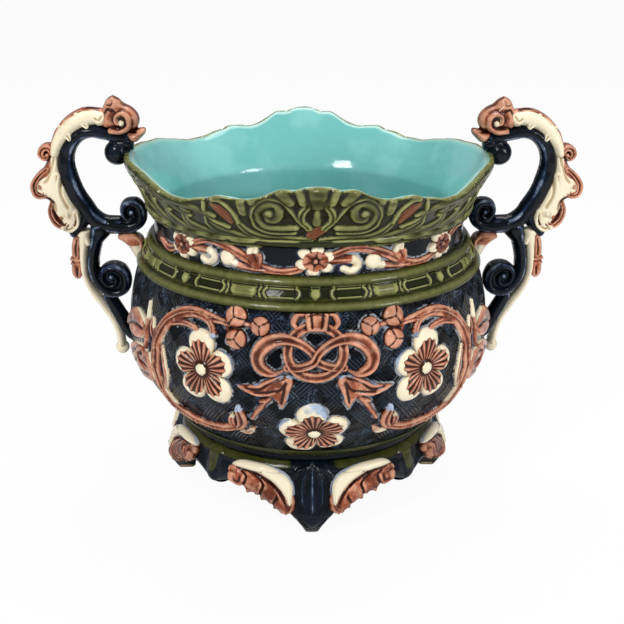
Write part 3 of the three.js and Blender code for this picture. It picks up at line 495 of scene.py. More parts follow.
# ---- relief: marks drawn on a surface ----

def smooth_path(path, spots=28):
    """A centripetal curve through [angle, height] points, evenly spaced."""
    knots = np.asarray(path, float)
    if len(knots) < 3:
        t = np.linspace(0, 1, spots)[:, None]
        return knots[0] * (1 - t) + knots[-1] * t
    first, last = 2 * knots[0] - knots[1], 2 * knots[-1] - knots[-2]
    knots = np.vstack([first, knots, last])
    pieces = []
    for a, b, c, d in zip(knots, knots[1:], knots[2:], knots[3:]):
        t = np.linspace(0, 1, 12, endpoint=False)[:, None]
        pieces.append(0.5 * (2 * b + (c - a) * t + (2 * a - 5 * b + 4 * c - d) * t ** 2
                             + (3 * b - a - 3 * c + d) * t ** 3))
    dense = np.vstack(pieces + [knots[-2:-1]])
    run = np.concatenate([[0], np.cumsum(np.linalg.norm(np.diff(dense, axis=0), axis=1))])
    even = np.linspace(0, run[-1], spots)
    return np.stack([np.interp(even, run, dense[:, k]) for k in range(dense.shape[1])], -1)


def to_path(points, normals, line):
    """For each point: distance to a 3-D line, share along it and side."""
    best = np.full(len(points), 1e9)
    share = np.zeros(len(points))
    side = np.zeros(len(points))
    steps = np.linalg.norm(np.diff(line, axis=0), axis=1)
    run = np.concatenate([[0], np.cumsum(steps)])
    for i, (start, length) in enumerate(zip(line[:-1], steps)):
        along = (line[i + 1] - start) / max(length, 1e-9)
        offset = points - start
        t = np.clip(offset @ along, 0, length)
        away = offset - t[:, None] * along
        away -= np.sum(away * normals, 1)[:, None] * normals
        distance = np.linalg.norm(away, axis=1)
        nearer = distance < best
        best[nearer] = distance[nearer]
        share[nearer] = ((run[i] + t) / run[-1])[nearer]
        across = np.cross(normals[nearer], along)
        side[nearer] = np.sign(np.sum(away[nearer] * across, 1))
    return best, share, side


SUNK = 1.4  # how far below the wall a relief's sheet runs, millimetres
EDGE_SLOPE = 2.4  # how fast a mark's field falls outside its edge
LUMP_WAVES = ((0.83, 0.31, 0.46, 0.4), (-0.35, 0.79, 0.5, 2.1), (0.42, -0.55, 0.72, 4.0),
              (-0.7, -0.2, 0.69, 5.3), (0.15, 0.93, -0.34, 1.2))


def lumps(points, size):
    """Smooth unevenness of hand work, about -1 to 1, with waves of about size millimetres."""
    total = np.zeros(len(points))
    for i, (x, y, z, phase) in enumerate(LUMP_WAVES):
        stretch = 2 * math.pi / size * (0.8 + 0.17 * i)
        total += np.sin(points @ (np.array([x, y, z]) * stretch) + phase)
    return total / 3


def blurred(field, reach):
    """The mean of a field over a square of cells, repeated for a smooth falloff."""
    for _ in range(2):
        for axis in (0, 1):
            width = 2 * reach + 1
            pads = [(0, 0), (0, 0)]
            pads[axis] = (reach + 1, reach)
            padded = np.cumsum(np.pad(field, pads, "edge"), axis=axis)
            size = field.shape[axis]
            upper = np.take(padded, range(width, width + size), axis=axis)
            lower = np.take(padded, range(0, size), axis=axis)
            field = (upper - lower) / width
    return field


def ease(value, low, high):
    t = np.clip((value - low) / (high - low), 0, 1)
    return t * t * (3 - 2 * t)


def swell(least, most, power=0.7):
    """A width that grows from least at both ends to most in the middle."""
    return lambda t: least + (most - least) * np.sin(np.pi * np.clip(t, 0, 1)) ** power


def taper(start, end, power=1.0):
    return lambda t: start + (end - start) * t ** power


def rounded(outline):
    """A closed outline with its corners cut twice; a corner that is given twice stays sharper."""
    path = np.asarray(outline, float)
    for _ in range(2):
        following = np.roll(path, -1, axis=0)
        path = np.stack([path * 0.75 + following * 0.25, path * 0.25 + following * 0.75], 1)
        path = path.reshape(-1, 2)
    return np.vstack([path, path[:1]])


def encloses(outline, u, v):
    """Whether each place lies inside a closed outline."""
    inside = np.zeros(len(u), bool)
    for (u0, v0), (u1, v1) in zip(outline[:-1], outline[1:]):
        spans = (v0 > v) != (v1 > v)
        crossing = u0 + (v - v0) * (u1 - u0) / (v1 - v0 if v1 != v0 else 1.0)
        inside ^= spans & (u < crossing)
    return inside


# Sections across a mark: 0 at its middle line, 1 at its edge.
SECTIONS = {
    "round": lambda s, t: np.sqrt(np.clip(1 - s ** 2, 0, 1)),
    "flat": lambda s, t: np.clip(1 - s ** 8, 0, 1) ** 0.5,
    "ribbon": lambda s, t: np.clip(1 - s ** 6, 0, 1) ** 0.5 * (0.72 + 0.28 * ease(s, 0.1, 0.75)),
    "leaf": lambda s, t: np.clip(1 - s ** 4, 0, 1) ** 0.5 * (0.72 + 0.28 * np.abs(s) - 0.16
                                                           * np.exp(-(s / 0.16) ** 2)),
    "ridge": lambda s, t: (np.clip(1 - s ** 3, 0, 1) ** 0.6
                           * (0.62 + 0.38 * np.exp(-(s / 0.3) ** 2))),
    "ribs": lambda s, t: np.clip(1 - s ** 4, 0, 1) ** 0.5 * (0.85 + 0.15 * np.cos(9.4 * s)),
}


class Relief:
    """A height field over one surface of the pot, built up from marks."""

    def __init__(self, surface, columns, rows, span, spread=None, floor=-SUNK, drawn=None):
        (left, right), (bottom, top) = span
        self.mesh, across, up = sheet(columns, rows)
        self.surface = drawn or surface  # what paths are given on
        self.shape = (rows + 1, columns + 1)
        self.u = left + (right - left) * across
        self.v = np.interp(up, *spread) if spread else bottom + (top - bottom) * up
        self.ground = surface(self.u, self.v)
        step = (top - bottom) / 1000
        by_v = surface(self.u, self.v + step) - surface(self.u, self.v - step)
        by_u = surface(self.u + 0.05, self.v) - surface(self.u - 0.05, self.v)
        normal = np.cross(by_u, by_v)
        self.normal = normal / np.maximum(np.linalg.norm(normal, axis=1), 1e-9)[:, None]
        self.floor = floor
        self.height = np.full(len(self.ground), floor)
        self.tones = {}

    def tone(self, name):
        return self.tones.setdefault(name, np.zeros(len(self.ground)))

    def near(self, line, reach):
        low, high = line.min(0) - reach, line.max(0) + reach
        return np.nonzero(np.all((self.ground > low) & (self.ground < high), 1))[0]

    def raise_to(self, at, height, tones):
        """Keeps the higher of the field and a new mark, whose tones then hold."""
        wins = height > self.height[at]
        chosen = at[wins]
        self.height[chosen] = height[wins]
        covered = height[wins] > -0.5
        for name in set(self.tones) | set(tones):
            if name not in TONES:
                continue
            value = np.broadcast_to(tones.get(name, 0.0), height.shape)[wins]
            self.tone(name)[chosen[covered]] = value[covered]

    def stroke(self, path, width, rise, section="round", spots=28, lift=0.0, **tones):
        """A raised mark along a path. Width, rise and tones may vary along it, 0 to 1."""
        line = self.surface(*smooth_path(path, spots).T)
        widest = np.max(width(np.linspace(0, 1, 20))) if callable(width) else width
        at = self.near(line, widest / 2 - self.floor / 2 + 1)
        if not len(at):
            return
        away, t, side = to_path(self.ground[at], self.normal[at], line)
        half = (width(t) if callable(width) else np.full(len(t), width)) / 2
        top = rise(t) if callable(rise) else rise
        s = away / np.maximum(half, 0.05)
        inside = top * SECTIONS[section](np.clip(s, 0, 1), t) + lift
        height = np.where(s < 1, inside, lift - (away - half) * EDGE_SLOPE)
        given = {k: (v(t, s, side) if callable(v) else v) for k, v in tones.items()}
        self.raise_to(at, np.maximum(height, self.floor), given)

    def area(self, outline, rise, slope=3.0, lift=0.0, **tones):
        """A raised form with a drawn outline, rounded off over slope millimetres at its edge."""
        closed = rounded(outline)
        line = self.surface(*closed.T)
        at = self.near(line, 2.5)
        if not len(at):
            return
        away, t, _ = to_path(self.ground[at], self.normal[at], line)
        deep = np.where(encloses(closed, self.u[at], self.v[at]), away, -away)
        s = 1 - np.clip(deep / slope, 0, 1)
        height = np.where(deep > 0, rise * np.sqrt(1 - s ** 2), deep * EDGE_SLOPE) + lift
        given = {k: (v(t, s, deep) if callable(v) else v) for k, v in tones.items()}
        self.raise_to(at, np.maximum(height, self.floor), given)

    def line(self, path, width, depth, spots=24, within=True, **tones):
        """A groove, or with a negative depth a fine ridge, drawn over what is already there."""
        line = self.surface(*smooth_path(path, spots).T)
        at = self.near(line, width * 2 + 4)
        if not len(at):
            return
        away, t, _ = to_path(self.ground[at], self.normal[at], line)
        fade = np.exp(-(away / (width / 2)) ** 2) * np.clip(np.minimum(t, 1 - t) * 12 + 0.35, 0, 1)
        if within:
            fade = fade * (self.height[at] > 0)
        self.height[at] -= depth * fade
        for name, value in tones.items():
            self.tone(name)[at] = self.tone(name)[at] * (1 - fade) + value * fade

    def dome(self, place, radius, rise, section="round", **tones):
        """A round boss."""
        self.stroke([place, (place[0] + 1e-3, place[1] + 1e-3)], 2 * radius, rise, section,
                    spots=2, **tones)

    def local(self, place, reach):
        """Points near a place and their offsets from it: across and up the wall, millimetres."""
        centre = self.surface(*np.array([place]).T)
        at = self.near(centre, reach)
        offset = self.ground[at] - centre
        a = math.radians(place[0])
        across = offset @ np.array([math.cos(a), math.sin(a), 0])
        upward = self.surface(np.array([place[0]]), np.array([place[1] + 0.5]))[0] - centre[0]
        upward /= np.linalg.norm(upward)
        return at, across, offset @ upward

    def finish(self, close=True, unevenness=0.16, pool_and_shade_depth=0.5, reach=3):
        """Moves the sheet to the relief and, where it is a sprig, cuts it out and closes it."""
        above = np.maximum(self.height, 0 if close else -9).reshape(self.shape)
        # Relief that stands above its blurred surroundings gets crest, painted highlights with thin
        # glaze; relief that lies below them gets pool, painted shade with pooled glaze.
        soft = blurred(above, reach).ravel()
        over = above.ravel() - soft
        self.tones["crest"] = np.clip(self.tone("crest") + over / pool_and_shade_depth, 0, 1)
        self.tones["pool"] = np.clip(self.tone("pool") - over / pool_and_shade_depth, 0, 1)
        lifted = self.height + unevenness * lumps(self.ground, 14.0) * (self.height > 0)
        move_points(self.mesh, self.ground + self.normal * lifted[:, None])
        for name, numbers in self.tones.items():
            write_tone(self.mesh, name, numbers)
        if close:
            OUTLINES[self.mesh.name] = self.ground[np.abs(self.height) < .7]
            self.cut_out()
        return self.mesh

    def cut_out(self):
        """Drops what lies wholly in the wall, and closes the rest with a back of its own."""
        back = self.ground - self.normal * (SUNK + 0.5)
        layer = self.mesh.attributes.new("back", "FLOAT_VECTOR", "POINT")
        layer.data.foreach_set("vector", back.astype(np.float32).ravel())
        write_tone(self.mesh, "lift", self.height)
        bm = bmesh.new()
        bm.from_mesh(self.mesh)
        lift, behind = bm.verts.layers.float["lift"], bm.verts.layers.float_vector["back"]
        sunk = [f for f in bm.faces if all(v[lift] < -SUNK + 0.02 for v in f.verts)]
        bmesh.ops.delete(bm, geom=sunk, context="FACES")
        bottom = list(bm.verts)
        bmesh.ops.extrude_face_region(bm, geom=list(bm.faces), use_keep_orig=True)
        for vert in bottom:
            vert.co = vert[behind]
        bmesh.ops.recalc_face_normals(bm, faces=bm.faces)
        bm.to_mesh(self.mesh)
        bm.free()
        for name in ("back", "lift"):
            self.mesh.attributes.remove(self.mesh.attributes[name])


def patch(surface, paths, cell, margin=7.0, tall=1.0):
    """A relief sheet big enough for paths of [angle, second coordinate] plus a margin."""
    spots = np.vstack([np.asarray(path, float) for path in paths])
    (left, bottom), (right, top) = spots.min(0), spots.max(0)
    wide = margin / GIRTH_DEGREE
    span = ((left - wide, right + wide), (bottom - margin * tall, top + margin * tall))
    columns = int((span[0][1] - span[0][0]) * GIRTH_DEGREE / cell)
    rows = int((span[1][1] - span[1][0]) / (cell * tall))
    return Relief(surface, columns, rows, span)


# ---- rings: skins carried round the axis ----

EDGE_SHARES = ((0, 1.0), (3, 1.0), (5.6, 0.955), (9.5, 0.99), (12, 0.94), (14.5, 0.885),
               (17, 0.855), (20.3, 0.855), (24, 0.93), (27.6, 1.0), (30.2, 0.975), (34, 1.005),
               (38, 0.985), (42, 1.0), (47, 0.98), (52, 0.998), (58, 0.982), (64, 0.996),
               (70, 0.984), (77, 1.0), (84, 0.99), (90, 1.0))
EDGE_ANGLES = np.arange(-720, 721) / 4.0
EDGE_TABLE = np.convolve(
    np.interp(folded(EDGE_ANGLES, 180), *np.array(EDGE_SHARES).T), bell(np.arange(-6, 7), 3.0)
    / bell(np.arange(-6, 7), 3.0).sum(), "same")


def edge_share(angle):
    """How far up the flare the rim's cut and modelled edge really stands at an angle."""
    return np.interp(folded(angle, 180), EDGE_ANGLES, EDGE_TABLE)


def cut_edge(angle, neck=NECK_RADIUS + COLLAR_WALL):
    share = edge_share(angle)
    radius, height = rim_edge(angle)
    return neck + (radius - neck) * share ** 1.25, NECK_TOP + (height - NECK_TOP) * share


def skin(keys):
    """A surface [angle, v] from keys.

    Each key is [v, radius, share of edge radius, height, share of edge height].
    """
    table = np.array(keys, float)

    def surface(angle, v):
        radius, by_radius, height, by_height = (
            np.interp(v, table[:, 0], table[:, k]) for k in (1, 2, 3, 4))
        edge_radius, edge_height = cut_edge(angle)
        return around(angle, radius + by_radius * edge_radius, height + by_height * edge_height)

    return surface


def flare_key(v, rise, neck, depth, up=0.0):
    share = max(rise, 0) ** 1.25
    return [v, neck * (1 - share) - depth * share, share, NECK_TOP * (1 - rise) + up, rise]


def ring(keys, columns, rows, spread):
    """A relief sheet all the way round; spread gives shares of its rows and their v."""
    low, high = spread[1][0], spread[1][-1]
    return Relief(skin(keys), columns, rows, ((-180, 180), (low, high)), spread, floor=0.0)


def plain(v, radius, height):
    return [v, radius, 0, height, 0]


def wall_keys(bottom, top, depth=0.0, falling=False, start=None):
    """Keys along the wall between two heights, moved in by depth."""
    heights = np.arange(bottom, top + 0.01, 1.5)
    heights[-1] = top
    slope = wall_radius(heights + 0.5) - wall_radius(heights - 0.5)
    radii = wall_radius(heights) - depth * np.hypot(1, slope)
    if falling:
        heights, radii = heights[::-1], radii[::-1]
        places = start + np.abs(heights - heights[0])
    else:
        places = heights
    return [plain(v, r, h) for v, r, h in zip(places, radii, heights)]


MIDDLE_DEPTH = 3.1  # from the outside of the wall in to where the lining begins


def body_relief():
    """The dark outside of the bowl, a closed shell from the underside up to the neck's top."""
    top = NECK_TOP - 0.2
    back = wall_keys(BASE_TOP + 6, top - 1, MIDDLE_DEPTH, True, 210)
    keys = [plain(0, 0, BASE_TOP), plain(40, BASE_RADIUS - 3, BASE_TOP),
            plain(51, BASE_RADIUS - 2.2, BASE_TOP + 0.3), plain(52.4, BASE_RADIUS, BASE_TOP + 2.8)]
    keys += wall_keys(BASE_TOP + 4, top) + [plain(207, NECK_RADIUS - MIDDLE_DEPTH, top)] + back
    end = back[-1][0]
    keys += [plain(end + 6, BASE_RADIUS - 9, BASE_TOP + 4.4), plain(end + 60, 0, BASE_TOP + 4.4)]
    spread = ([0, .03, .05, .885, .9, 1], [0, 50, 53, top, 208, end + 60])
    return ring(keys, 740, 130, spread)


def lining_relief():
    """The turquoise inside with the rim's lip, a closed shell inside the dark one."""
    seat = MIDDLE_DEPTH + 0.15
    up = wall_keys(BASE_TOP + 8, NECK_TOP, seat)
    gap = COLLAR_WALL + 0.2
    keys = [plain(0, 0, BASE_TOP + 4.6), plain(50, BASE_RADIUS - 10, BASE_TOP + 4.6)] + up
    keys += [flare_key(205 + 30 * r, r, NECK_RADIUS, gap) for r in (.1, .25, .4, .6, .8, .96)]
    keys += [flare_key(235, 1, NECK_RADIUS, gap + .2, 0.1),
             flare_key(236.3, 1, NECK_RADIUS, gap + 1.1, .5),
             flare_key(237.7, 1, NECK_RADIUS, gap + 2.4, .1),
             flare_key(239, .975, NECK_RADIUS, gap + 3.4)]
    lip = gap + 3.5
    keys += [flare_key(240 + 35 * (1 - r), r, NECK_RADIUS - WALL, lip) for r in
             (.94, .8, .6, .4, .25, .1, 0)]
    down = wall_keys(INSIDE_FLOOR + 5, NECK_TOP - 2, WALL, True, 277)
    end = down[-1][0]
    floor_edge = down[-1][1]
    keys += down + [plain(end + 3, floor_edge - 1.5, INSIDE_FLOOR + 1.6),
                    plain(end + 6, floor_edge - 5.5, INSIDE_FLOOR),
                    plain(end + 60, 0, INSIDE_FLOOR)]
    spread = ([0, .05, .2, .32, .4, .6, .9, 1],
              [0, 58, 205, 233, 240, 276, end + 4, end + 60])
    return ring(keys, 600, 120, spread)


def roll_relief(bottom, top, rise, columns=560, rows=22):
    """A half-round roll laid on the wall between two heights."""
    middle, half = (bottom + top) / 2, (top - bottom) / 2
    keys = []
    for i, a in enumerate(np.linspace(-90, 90, 15)):
        height = middle + half * math.sin(math.radians(a))
        out = rise * math.cos(math.radians(a)) ** 0.7
        keys.append(plain(i, float(wall_radius(height)) + 0.2 + out, height))
    keys.append(plain(15, float(wall_radius(top)) - 1.2, top))
    keys.append(plain(16, float(wall_radius(bottom)) - 1.2, bottom))
    keys.append(plain(17, *keys[0][1:4:2]))
    return ring(keys, columns, rows, ([0, .8, 1], [0, 14, 17]))


# ---- the rim's border, in [angle, percent of the flare] for one side of a crest ----

RIM_VOLUTE = ((6, 36), (10.4, 35), (14.4, 38), (16.4, 52), (16, 66), (13.6, 77), (11.4, 79),
              (10, 72), (10.2, 60), (11.6, 51), (13.4, 52), (13.8, 61))
RIM_VOLUTE_RIDGE = ((6.2, 26), (10.6, 26), (15, 29), (18, 41), (18, 62), (16, 79), (13.2, 87),
                    (10.4, 86), (8.2, 76), (6.4, 60), (5.2, 47))
RIM_STEM = ((1.4, 13), (5, 15), (11, 16), (17, 18), (21, 29), (23, 46), (23.6, 62))
RIM_PALMETTE = ((2.2, 34), (4.2, 46), (4, 60), (2.6, 72), (3.6, 82))
RIM_LOZENGE = ((25, 44), (26.8, 64), (29.2, 88))
RIM_LOZENGE_FRAMES = (((22.8, 46), (23.4, 66), (25.6, 88), (28.6, 97)),
                      ((26.6, 36), (30.6, 50), (32.4, 72), (31.4, 92)))
RIM_CREST_LOBES = (((0, 76), (0, 98), 9), ((3.6, 78), (4.2, 92), 4.5), (((7.2, 80)), (9, 96), 6),
                   ((20.4, 66), (20.4, 83), 5), ((16.6, 84), (17.4, 85), 4))


def rim_border_relief():
    keys = [plain(-.35, NECK_RADIUS + .2, 205.3), plain(-.14, NECK_RADIUS + 2.6, 205.0),
            plain(-.07, NECK_RADIUS + 4.2, 205.9), plain(-.01, NECK_RADIUS + 4.7, 207.6),
            plain(.05, NECK_RADIUS + 4.4, 209.4), plain(.09, NECK_RADIUS + 3.2, 210.6)]
    neck = NECK_RADIUS + COLLAR_WALL - 1.2
    keys += [flare_key(r, r, neck, 1.0) for r in np.arange(.16, .97, .06)]
    keys += [flare_key(1, 1, neck, 2.0, -.6), flare_key(1.03, 1, neck, 3.0, -.1),
             flare_key(1.08, .985, neck, 4.6), flare_key(1.25, .5, NECK_RADIUS + .2, 3.6),
             plain(1.4, NECK_RADIUS + .2, 205.3)]
    spread = ([0, .06, .16, .9, .95, 1], [-.35, -.12, .1, 1.0, 1.08, 1.4])
    relief = ring(keys, 1150, 84, spread)
    for turn in (0, 180):
        for side in (-1, 1):
            rim_marks(relief, turn, side)
        relief.stroke(((turn, 78), (turn, 100)) * np.array((1, .01)), 8, 1.5)
        relief.stroke(((turn, 42), (turn, 66)) * np.array((1, .01)), taper(6, 3), 1.3)
        relief.stroke(((turn - 1.2, 22), (turn + 1.4, 31)) * np.array((1, .01)), 7, 1.0, "flat",
                      red=1)
        for shift in (-1.6, 0, 1.6):
            relief.line(((turn - 2 + shift, .2), (turn + 1.4 + shift, .36)), .7, .4)
            relief.line(((turn + 2 + shift, .2), (turn - 1.4 + shift, .36)), .7, .4)
    relief.tones["edge"] = ease(relief.v, .93, 1.0) * (relief.v < 1.2)
    # The low ground between the leafwork gets pool, pooled glaze and painted shade; the bead at the
    # flare's foot and the edge get crest, painted highlights with thin glaze.
    relief.tones["pool"] = .7 * (1 - ease(relief.height, .2, 1.6)) * (relief.v > .12) \
        * (relief.v < .97)
    relief.tones["crest"] = 0.35 * ease(relief.v, .0, .05) * (1 - ease(relief.v, .08, .14)) \
        + relief.tones["edge"] * .5
    relief.height *= 1 - .6 * ease(relief.v, .86, 1)
    mesh = relief.finish(close=False, unevenness=.12, pool_and_shade_depth=.5, reach=2)
    tidy(mesh, SEAM)
    return mesh


def rim_marks(relief, turn, side):
    """The moulded leafwork from a crest round to the handle on one side."""
    def at(path):
        spots = np.array(path, float)
        angles = turn + side * spots[:, 0]
        return np.stack([angles, spots[:, 1] / 100 / edge_share(angles)], -1)

    for start in np.arange(17, 88, 9.0):
        sweep = ((start, 12), (start + 7, 15), (start + 13, 27), (start + 16, 46), (start + 15, 66))
        relief.stroke(at(sweep), swell(2.4, 9.4), 1.8, "leaf")
        curl = ((start + 13, 62), (start + 17, 76), (start + 21, 88), (start + 26, 94),
                (start + 30, 88))
        relief.stroke(at(curl), swell(4, 8), 2.0, "round")
        relief.dome(at([(start + 22.6, 78)])[0], 4.6, 2.2)
    relief.stroke(at(RIM_STEM), swell(3, 6.4), 1.6, "leaf")
    relief.stroke(at(RIM_VOLUTE_RIDGE), swell(2.6, 5), 1.8, "ridge", spots=40)
    relief.stroke(at(RIM_VOLUTE), taper(5.4, 6.4), 2.0, "round", spots=44)
    relief.dome(at([(13, 62)])[0], 3.7, 2.5, crest=.3)
    relief.stroke(at(RIM_PALMETTE), 4.8, 1.8, "leaf")
    for frame_path in RIM_LOZENGE_FRAMES:
        relief.stroke(at(frame_path), 3.4, 1.9, "round")
    relief.stroke(at(RIM_LOZENGE), swell(1.5, 8), 1.6, "round", red=1)
    for shift in (-1.3, 0, 1.3):
        relief.line(at([(a + shift, b) for a, b in RIM_LOZENGE]), .7, .5)
    for start, end, width in RIM_CREST_LOBES:
        relief.stroke(at([start, end]), width * 1.3, 2.0)


# ---- the fluted band ----

BAND_MIDDLE = (LOWER_ROLL_TOP + UPPER_ROLL_BOTTOM) / 2
BAND_HALF = (UPPER_ROLL_BOTTOM - LOWER_ROLL_TOP) / 2 - SLIP


def band_relief():
    keys = []
    for share in np.linspace(-1, 1, 17):
        height = BAND_MIDDLE + BAND_HALF * share
        out = .9 + 1.0 * ease(abs(share), .72, .95)
        keys.append(plain(height, float(wall_radius(height)) + out, height))
    top, low = keys[-1][0], keys[0][0]
    keys += [plain(top + 1, float(wall_radius(top)) - 1, top),
             plain(top + 2, float(wall_radius(low)) - 1, low), plain(top + 3, keys[0][1], low)]
    relief = ring(keys, 1120, 44, ([0, .86, 1], [low, top, top + 3]))
    for repeat in range(8):
        start = repeat * 45.0
        # Crest on the bosses, bars and brackets is a painted highlight with thin glaze.
        relief.dome((start, BAND_MIDDLE), 3.2, 2.1, crest=.3)
        relief.dome((start, BAND_MIDDLE), 1.7, 2.6, crest=.4)
        relief.stroke(((start + 19.5, BAND_MIDDLE), (start + 25.5, BAND_MIDDLE)), 6.2, 1.8,
                      crest=.35)
        for side in (-1, 1):
            middle = start + side * 10.4
            for shift in (-2.5, 2.5):
                relief.stroke(((middle - 3.6, BAND_MIDDLE + shift),
                               (middle + 3.6, BAND_MIDDLE + shift)), 1.3, 1.3, crest=.5)
            for end, bow in ((-4.6, .9), (4.6, -.9)):
                spots = [(middle + end - bow * (1 - k * k), BAND_MIDDLE + 2.9 * k)
                         for k in (-1, -.5, 0, .5, 1)]
                relief.stroke(spots, 1.5, 1.5, crest=.6)
            relief.stroke(((start + side * 16.9, BAND_MIDDLE - 2.8),
                           (start + side * 17.4, BAND_MIDDLE),
                           (start + side * 16.9, BAND_MIDDLE + 2.8)), 1.3, 1.4, crest=.5)
    # The hollow channel gets pool: pooled glaze and painted shade.
    hollow = (relief.height < .3) & (relief.v > low + 1) & (relief.v < top - 1)
    relief.tones["pool"] = .75 * hollow
    mesh = relief.finish(close=False, unevenness=.08, pool_and_shade_depth=.5, reach=3)
    tidy(mesh, SEAM)
    return mesh


# ---- the base: ring, feet, arches and drops ----

FOOT_SWELL = 104.0
APRON_FACE = 97.0
BEND_HEIGHT = 43.7
BEND_RADIUS = 93.0
SEAT_HEIGHT = 49.7
SOLE_HALF_ANGLE = 2.6
ARCH_HEIGHT = 31.0


def apron_edge(angle):
    """Lower edge of the base ring: soles, arches beside them, a drop between two arches."""
    off = folded(angle, 90)
    climb = np.clip((off - SOLE_HALF_ANGLE) / (30 - SOLE_HALF_ANGLE), 0, 1)
    return ARCH_HEIGHT * np.sin(climb * math.pi / 2) ** .8 - 7 * bell(off - 45, 7)


def apron_radius(angle, height):
    """Outer face of the base ring at an angle and a height."""
    low = apron_edge(angle)
    swell_radius = APRON_FACE + (FOOT_SWELL - APRON_FACE) * bell(folded(angle, 90), 10)
    swell_height = np.maximum(17, low + 6)
    sole = swell_radius - 8 + 5 * low / ARCH_HEIGHT
    share = np.clip((height - swell_height) / (BEND_HEIGHT - swell_height), 0, 1)
    upper = swell_radius + (BEND_RADIUS - swell_radius) * share
    tucked = np.clip((height - BEND_HEIGHT) / (SEAT_HEIGHT - BEND_HEIGHT), 0, 1)
    upper = upper - 4.5 * tucked ** 2
    rising = np.clip((height - low) / (swell_height - low), 0, 1)
    lower = sole + (swell_radius - sole) * np.sin(rising * math.pi / 2) ** .8
    return np.where(height > swell_height, upper, lower)


def on_apron(angle, height):
    return around(angle, apron_radius(angle, height), height)


def foot_surface(angle, v):
    """The whole closed section: v 0 to 1 up the outer face, then over the top and down inside."""
    low = apron_edge(angle)
    rise = np.clip(v, 0, 1)
    outer_height = low + (SEAT_HEIGHT - low) * rise
    outer_radius = apron_radius(angle, outer_height)
    bottom_radius = apron_radius(angle, low)
    swell_height = np.maximum(17, low + 6)
    corners = [(outer_radius, outer_height), (np.full_like(low, 81.0), np.full_like(low, 49.7)),
               (bottom_radius - 13.5, swell_height + 4), (bottom_radius - 11, low + 1.5),
               (bottom_radius - 9, low), (bottom_radius - 1, low)]
    radius, height = outer_radius, outer_height
    for i, (corner_radius, corner_height) in enumerate(corners[1:]):
        share = np.clip(v - 1 - i, 0, 1)
        radius = radius + (corner_radius - corners[i][0]) * share
        height = height + (corner_height - corners[i][1]) * share
    closing = np.clip(v - 6, 0, 1)
    return around(angle, radius + closing, height)


FOOT_COLUMN_LEAVES = (((0, 50), (-1.6, 46), (-3.4, 40), (-4, 33), (-3.6, 24)),
                      ((0, 47), (0, 38), (0, 28), (0, 19)))


def foot_relief():
    spread = ([0, .62, .72, .88, 1], [0, 1, 2, 4, 7])
    relief = Relief(foot_surface, 760, 118, ((-180, 180), (0, 7)), spread, 0.0, on_apron)
    for foot in range(4):
        start = foot * 90.0

        def at(path, side=1):
            return [(start + side * a, b) for a, b in path]

        for side in (-1, 1):
            relief.stroke(at(FOOT_COLUMN_LEAVES[0], side), swell(1.5, 3.4), 1.7, "ridge")
            relief.stroke(at(((1.2, 48), (4, 46), (7, 43), (9, 37)), side), swell(1.2, 3), 1.2,
                          "ridge")
            relief.stroke(at(((5.4, 14), (3.6, 9), (1.2, 7)), side), swell(1, 3), 1.0, "round")
        # Crest along the middle leaf is a painted highlight with thin glaze.
        relief.stroke(at(FOOT_COLUMN_LEAVES[1]), swell(1.2, 3.2), 2.0, "ridge", crest=.2)
        relief.dome(at([(0, 11)])[0], 4.4, 1.5)
        drop = at([(45, 45), (45, 36), (45, 27)])
        relief.stroke(drop, taper(15, 8), 1.2, "round",
                      olive=lambda t, s, side: .9 * (1 - ease(s, .35, .8)) * (1 - ease(t, .5, .9)))
    height = relief.ground[:, 2]
    angle = np.degrees(np.arctan2(relief.ground[:, 0], -relief.ground[:, 1]))
    off = folded(angle, 90)
    relief.tones["olive"] = np.maximum(relief.tone("olive"), ease(height, 43.5, 47)
                                       * ease(off, 5, 13) * .8) * (relief.v <= 1.02)
    relief.tones["bare"] = ((relief.v > 4.0) & (height < 2.5)).astype(float)
    mesh = relief.finish(close=False, unevenness=.25, pool_and_shade_depth=1.3, reach=3)
    tidy(mesh, SEAM)
    return mesh


# ---- shell scrolls on the feet, in [angle from the foot, height] ----

SHELL_CREAM = ((35.4, 43.4), (31.4, 47), (24.6, 47.4), (16.6, 46.8), (10.6, 43.2), (7.4, 37),
               (6.8, 29), (7.6, 22.4), (9, 21.6), (10.6, 27.6), (13.4, 33.8), (18, 38.8),
               (24, 41.8), (30.6, 42.8))
SHELL_BODY = ((35.4, 42.6), (35.6, 38), (32, 35), (29, 36.4), (28.4, 31), (24.8, 27), (21.2, 28.6),
              (20, 24.4), (16.8, 22), (14.6, 22.6), (12.4, 17.2), (8.4, 16.6), (6.2, 20.4),
              (7, 28), (12, 37), (20, 43), (30, 45))
SHELL_CURLS = (((31, 42), (28.6, 38.6), (30, 35.2), (32.8, 36.8)),
               ((25.4, 41.4), (21.8, 36.4), (22.4, 30.4), (26, 30)),
               ((19.4, 38.6), (15.6, 32.4), (16.2, 25.6), (19.6, 26)),
               ((13.6, 33), (11, 26.4), (11, 20), (13.8, 20)))


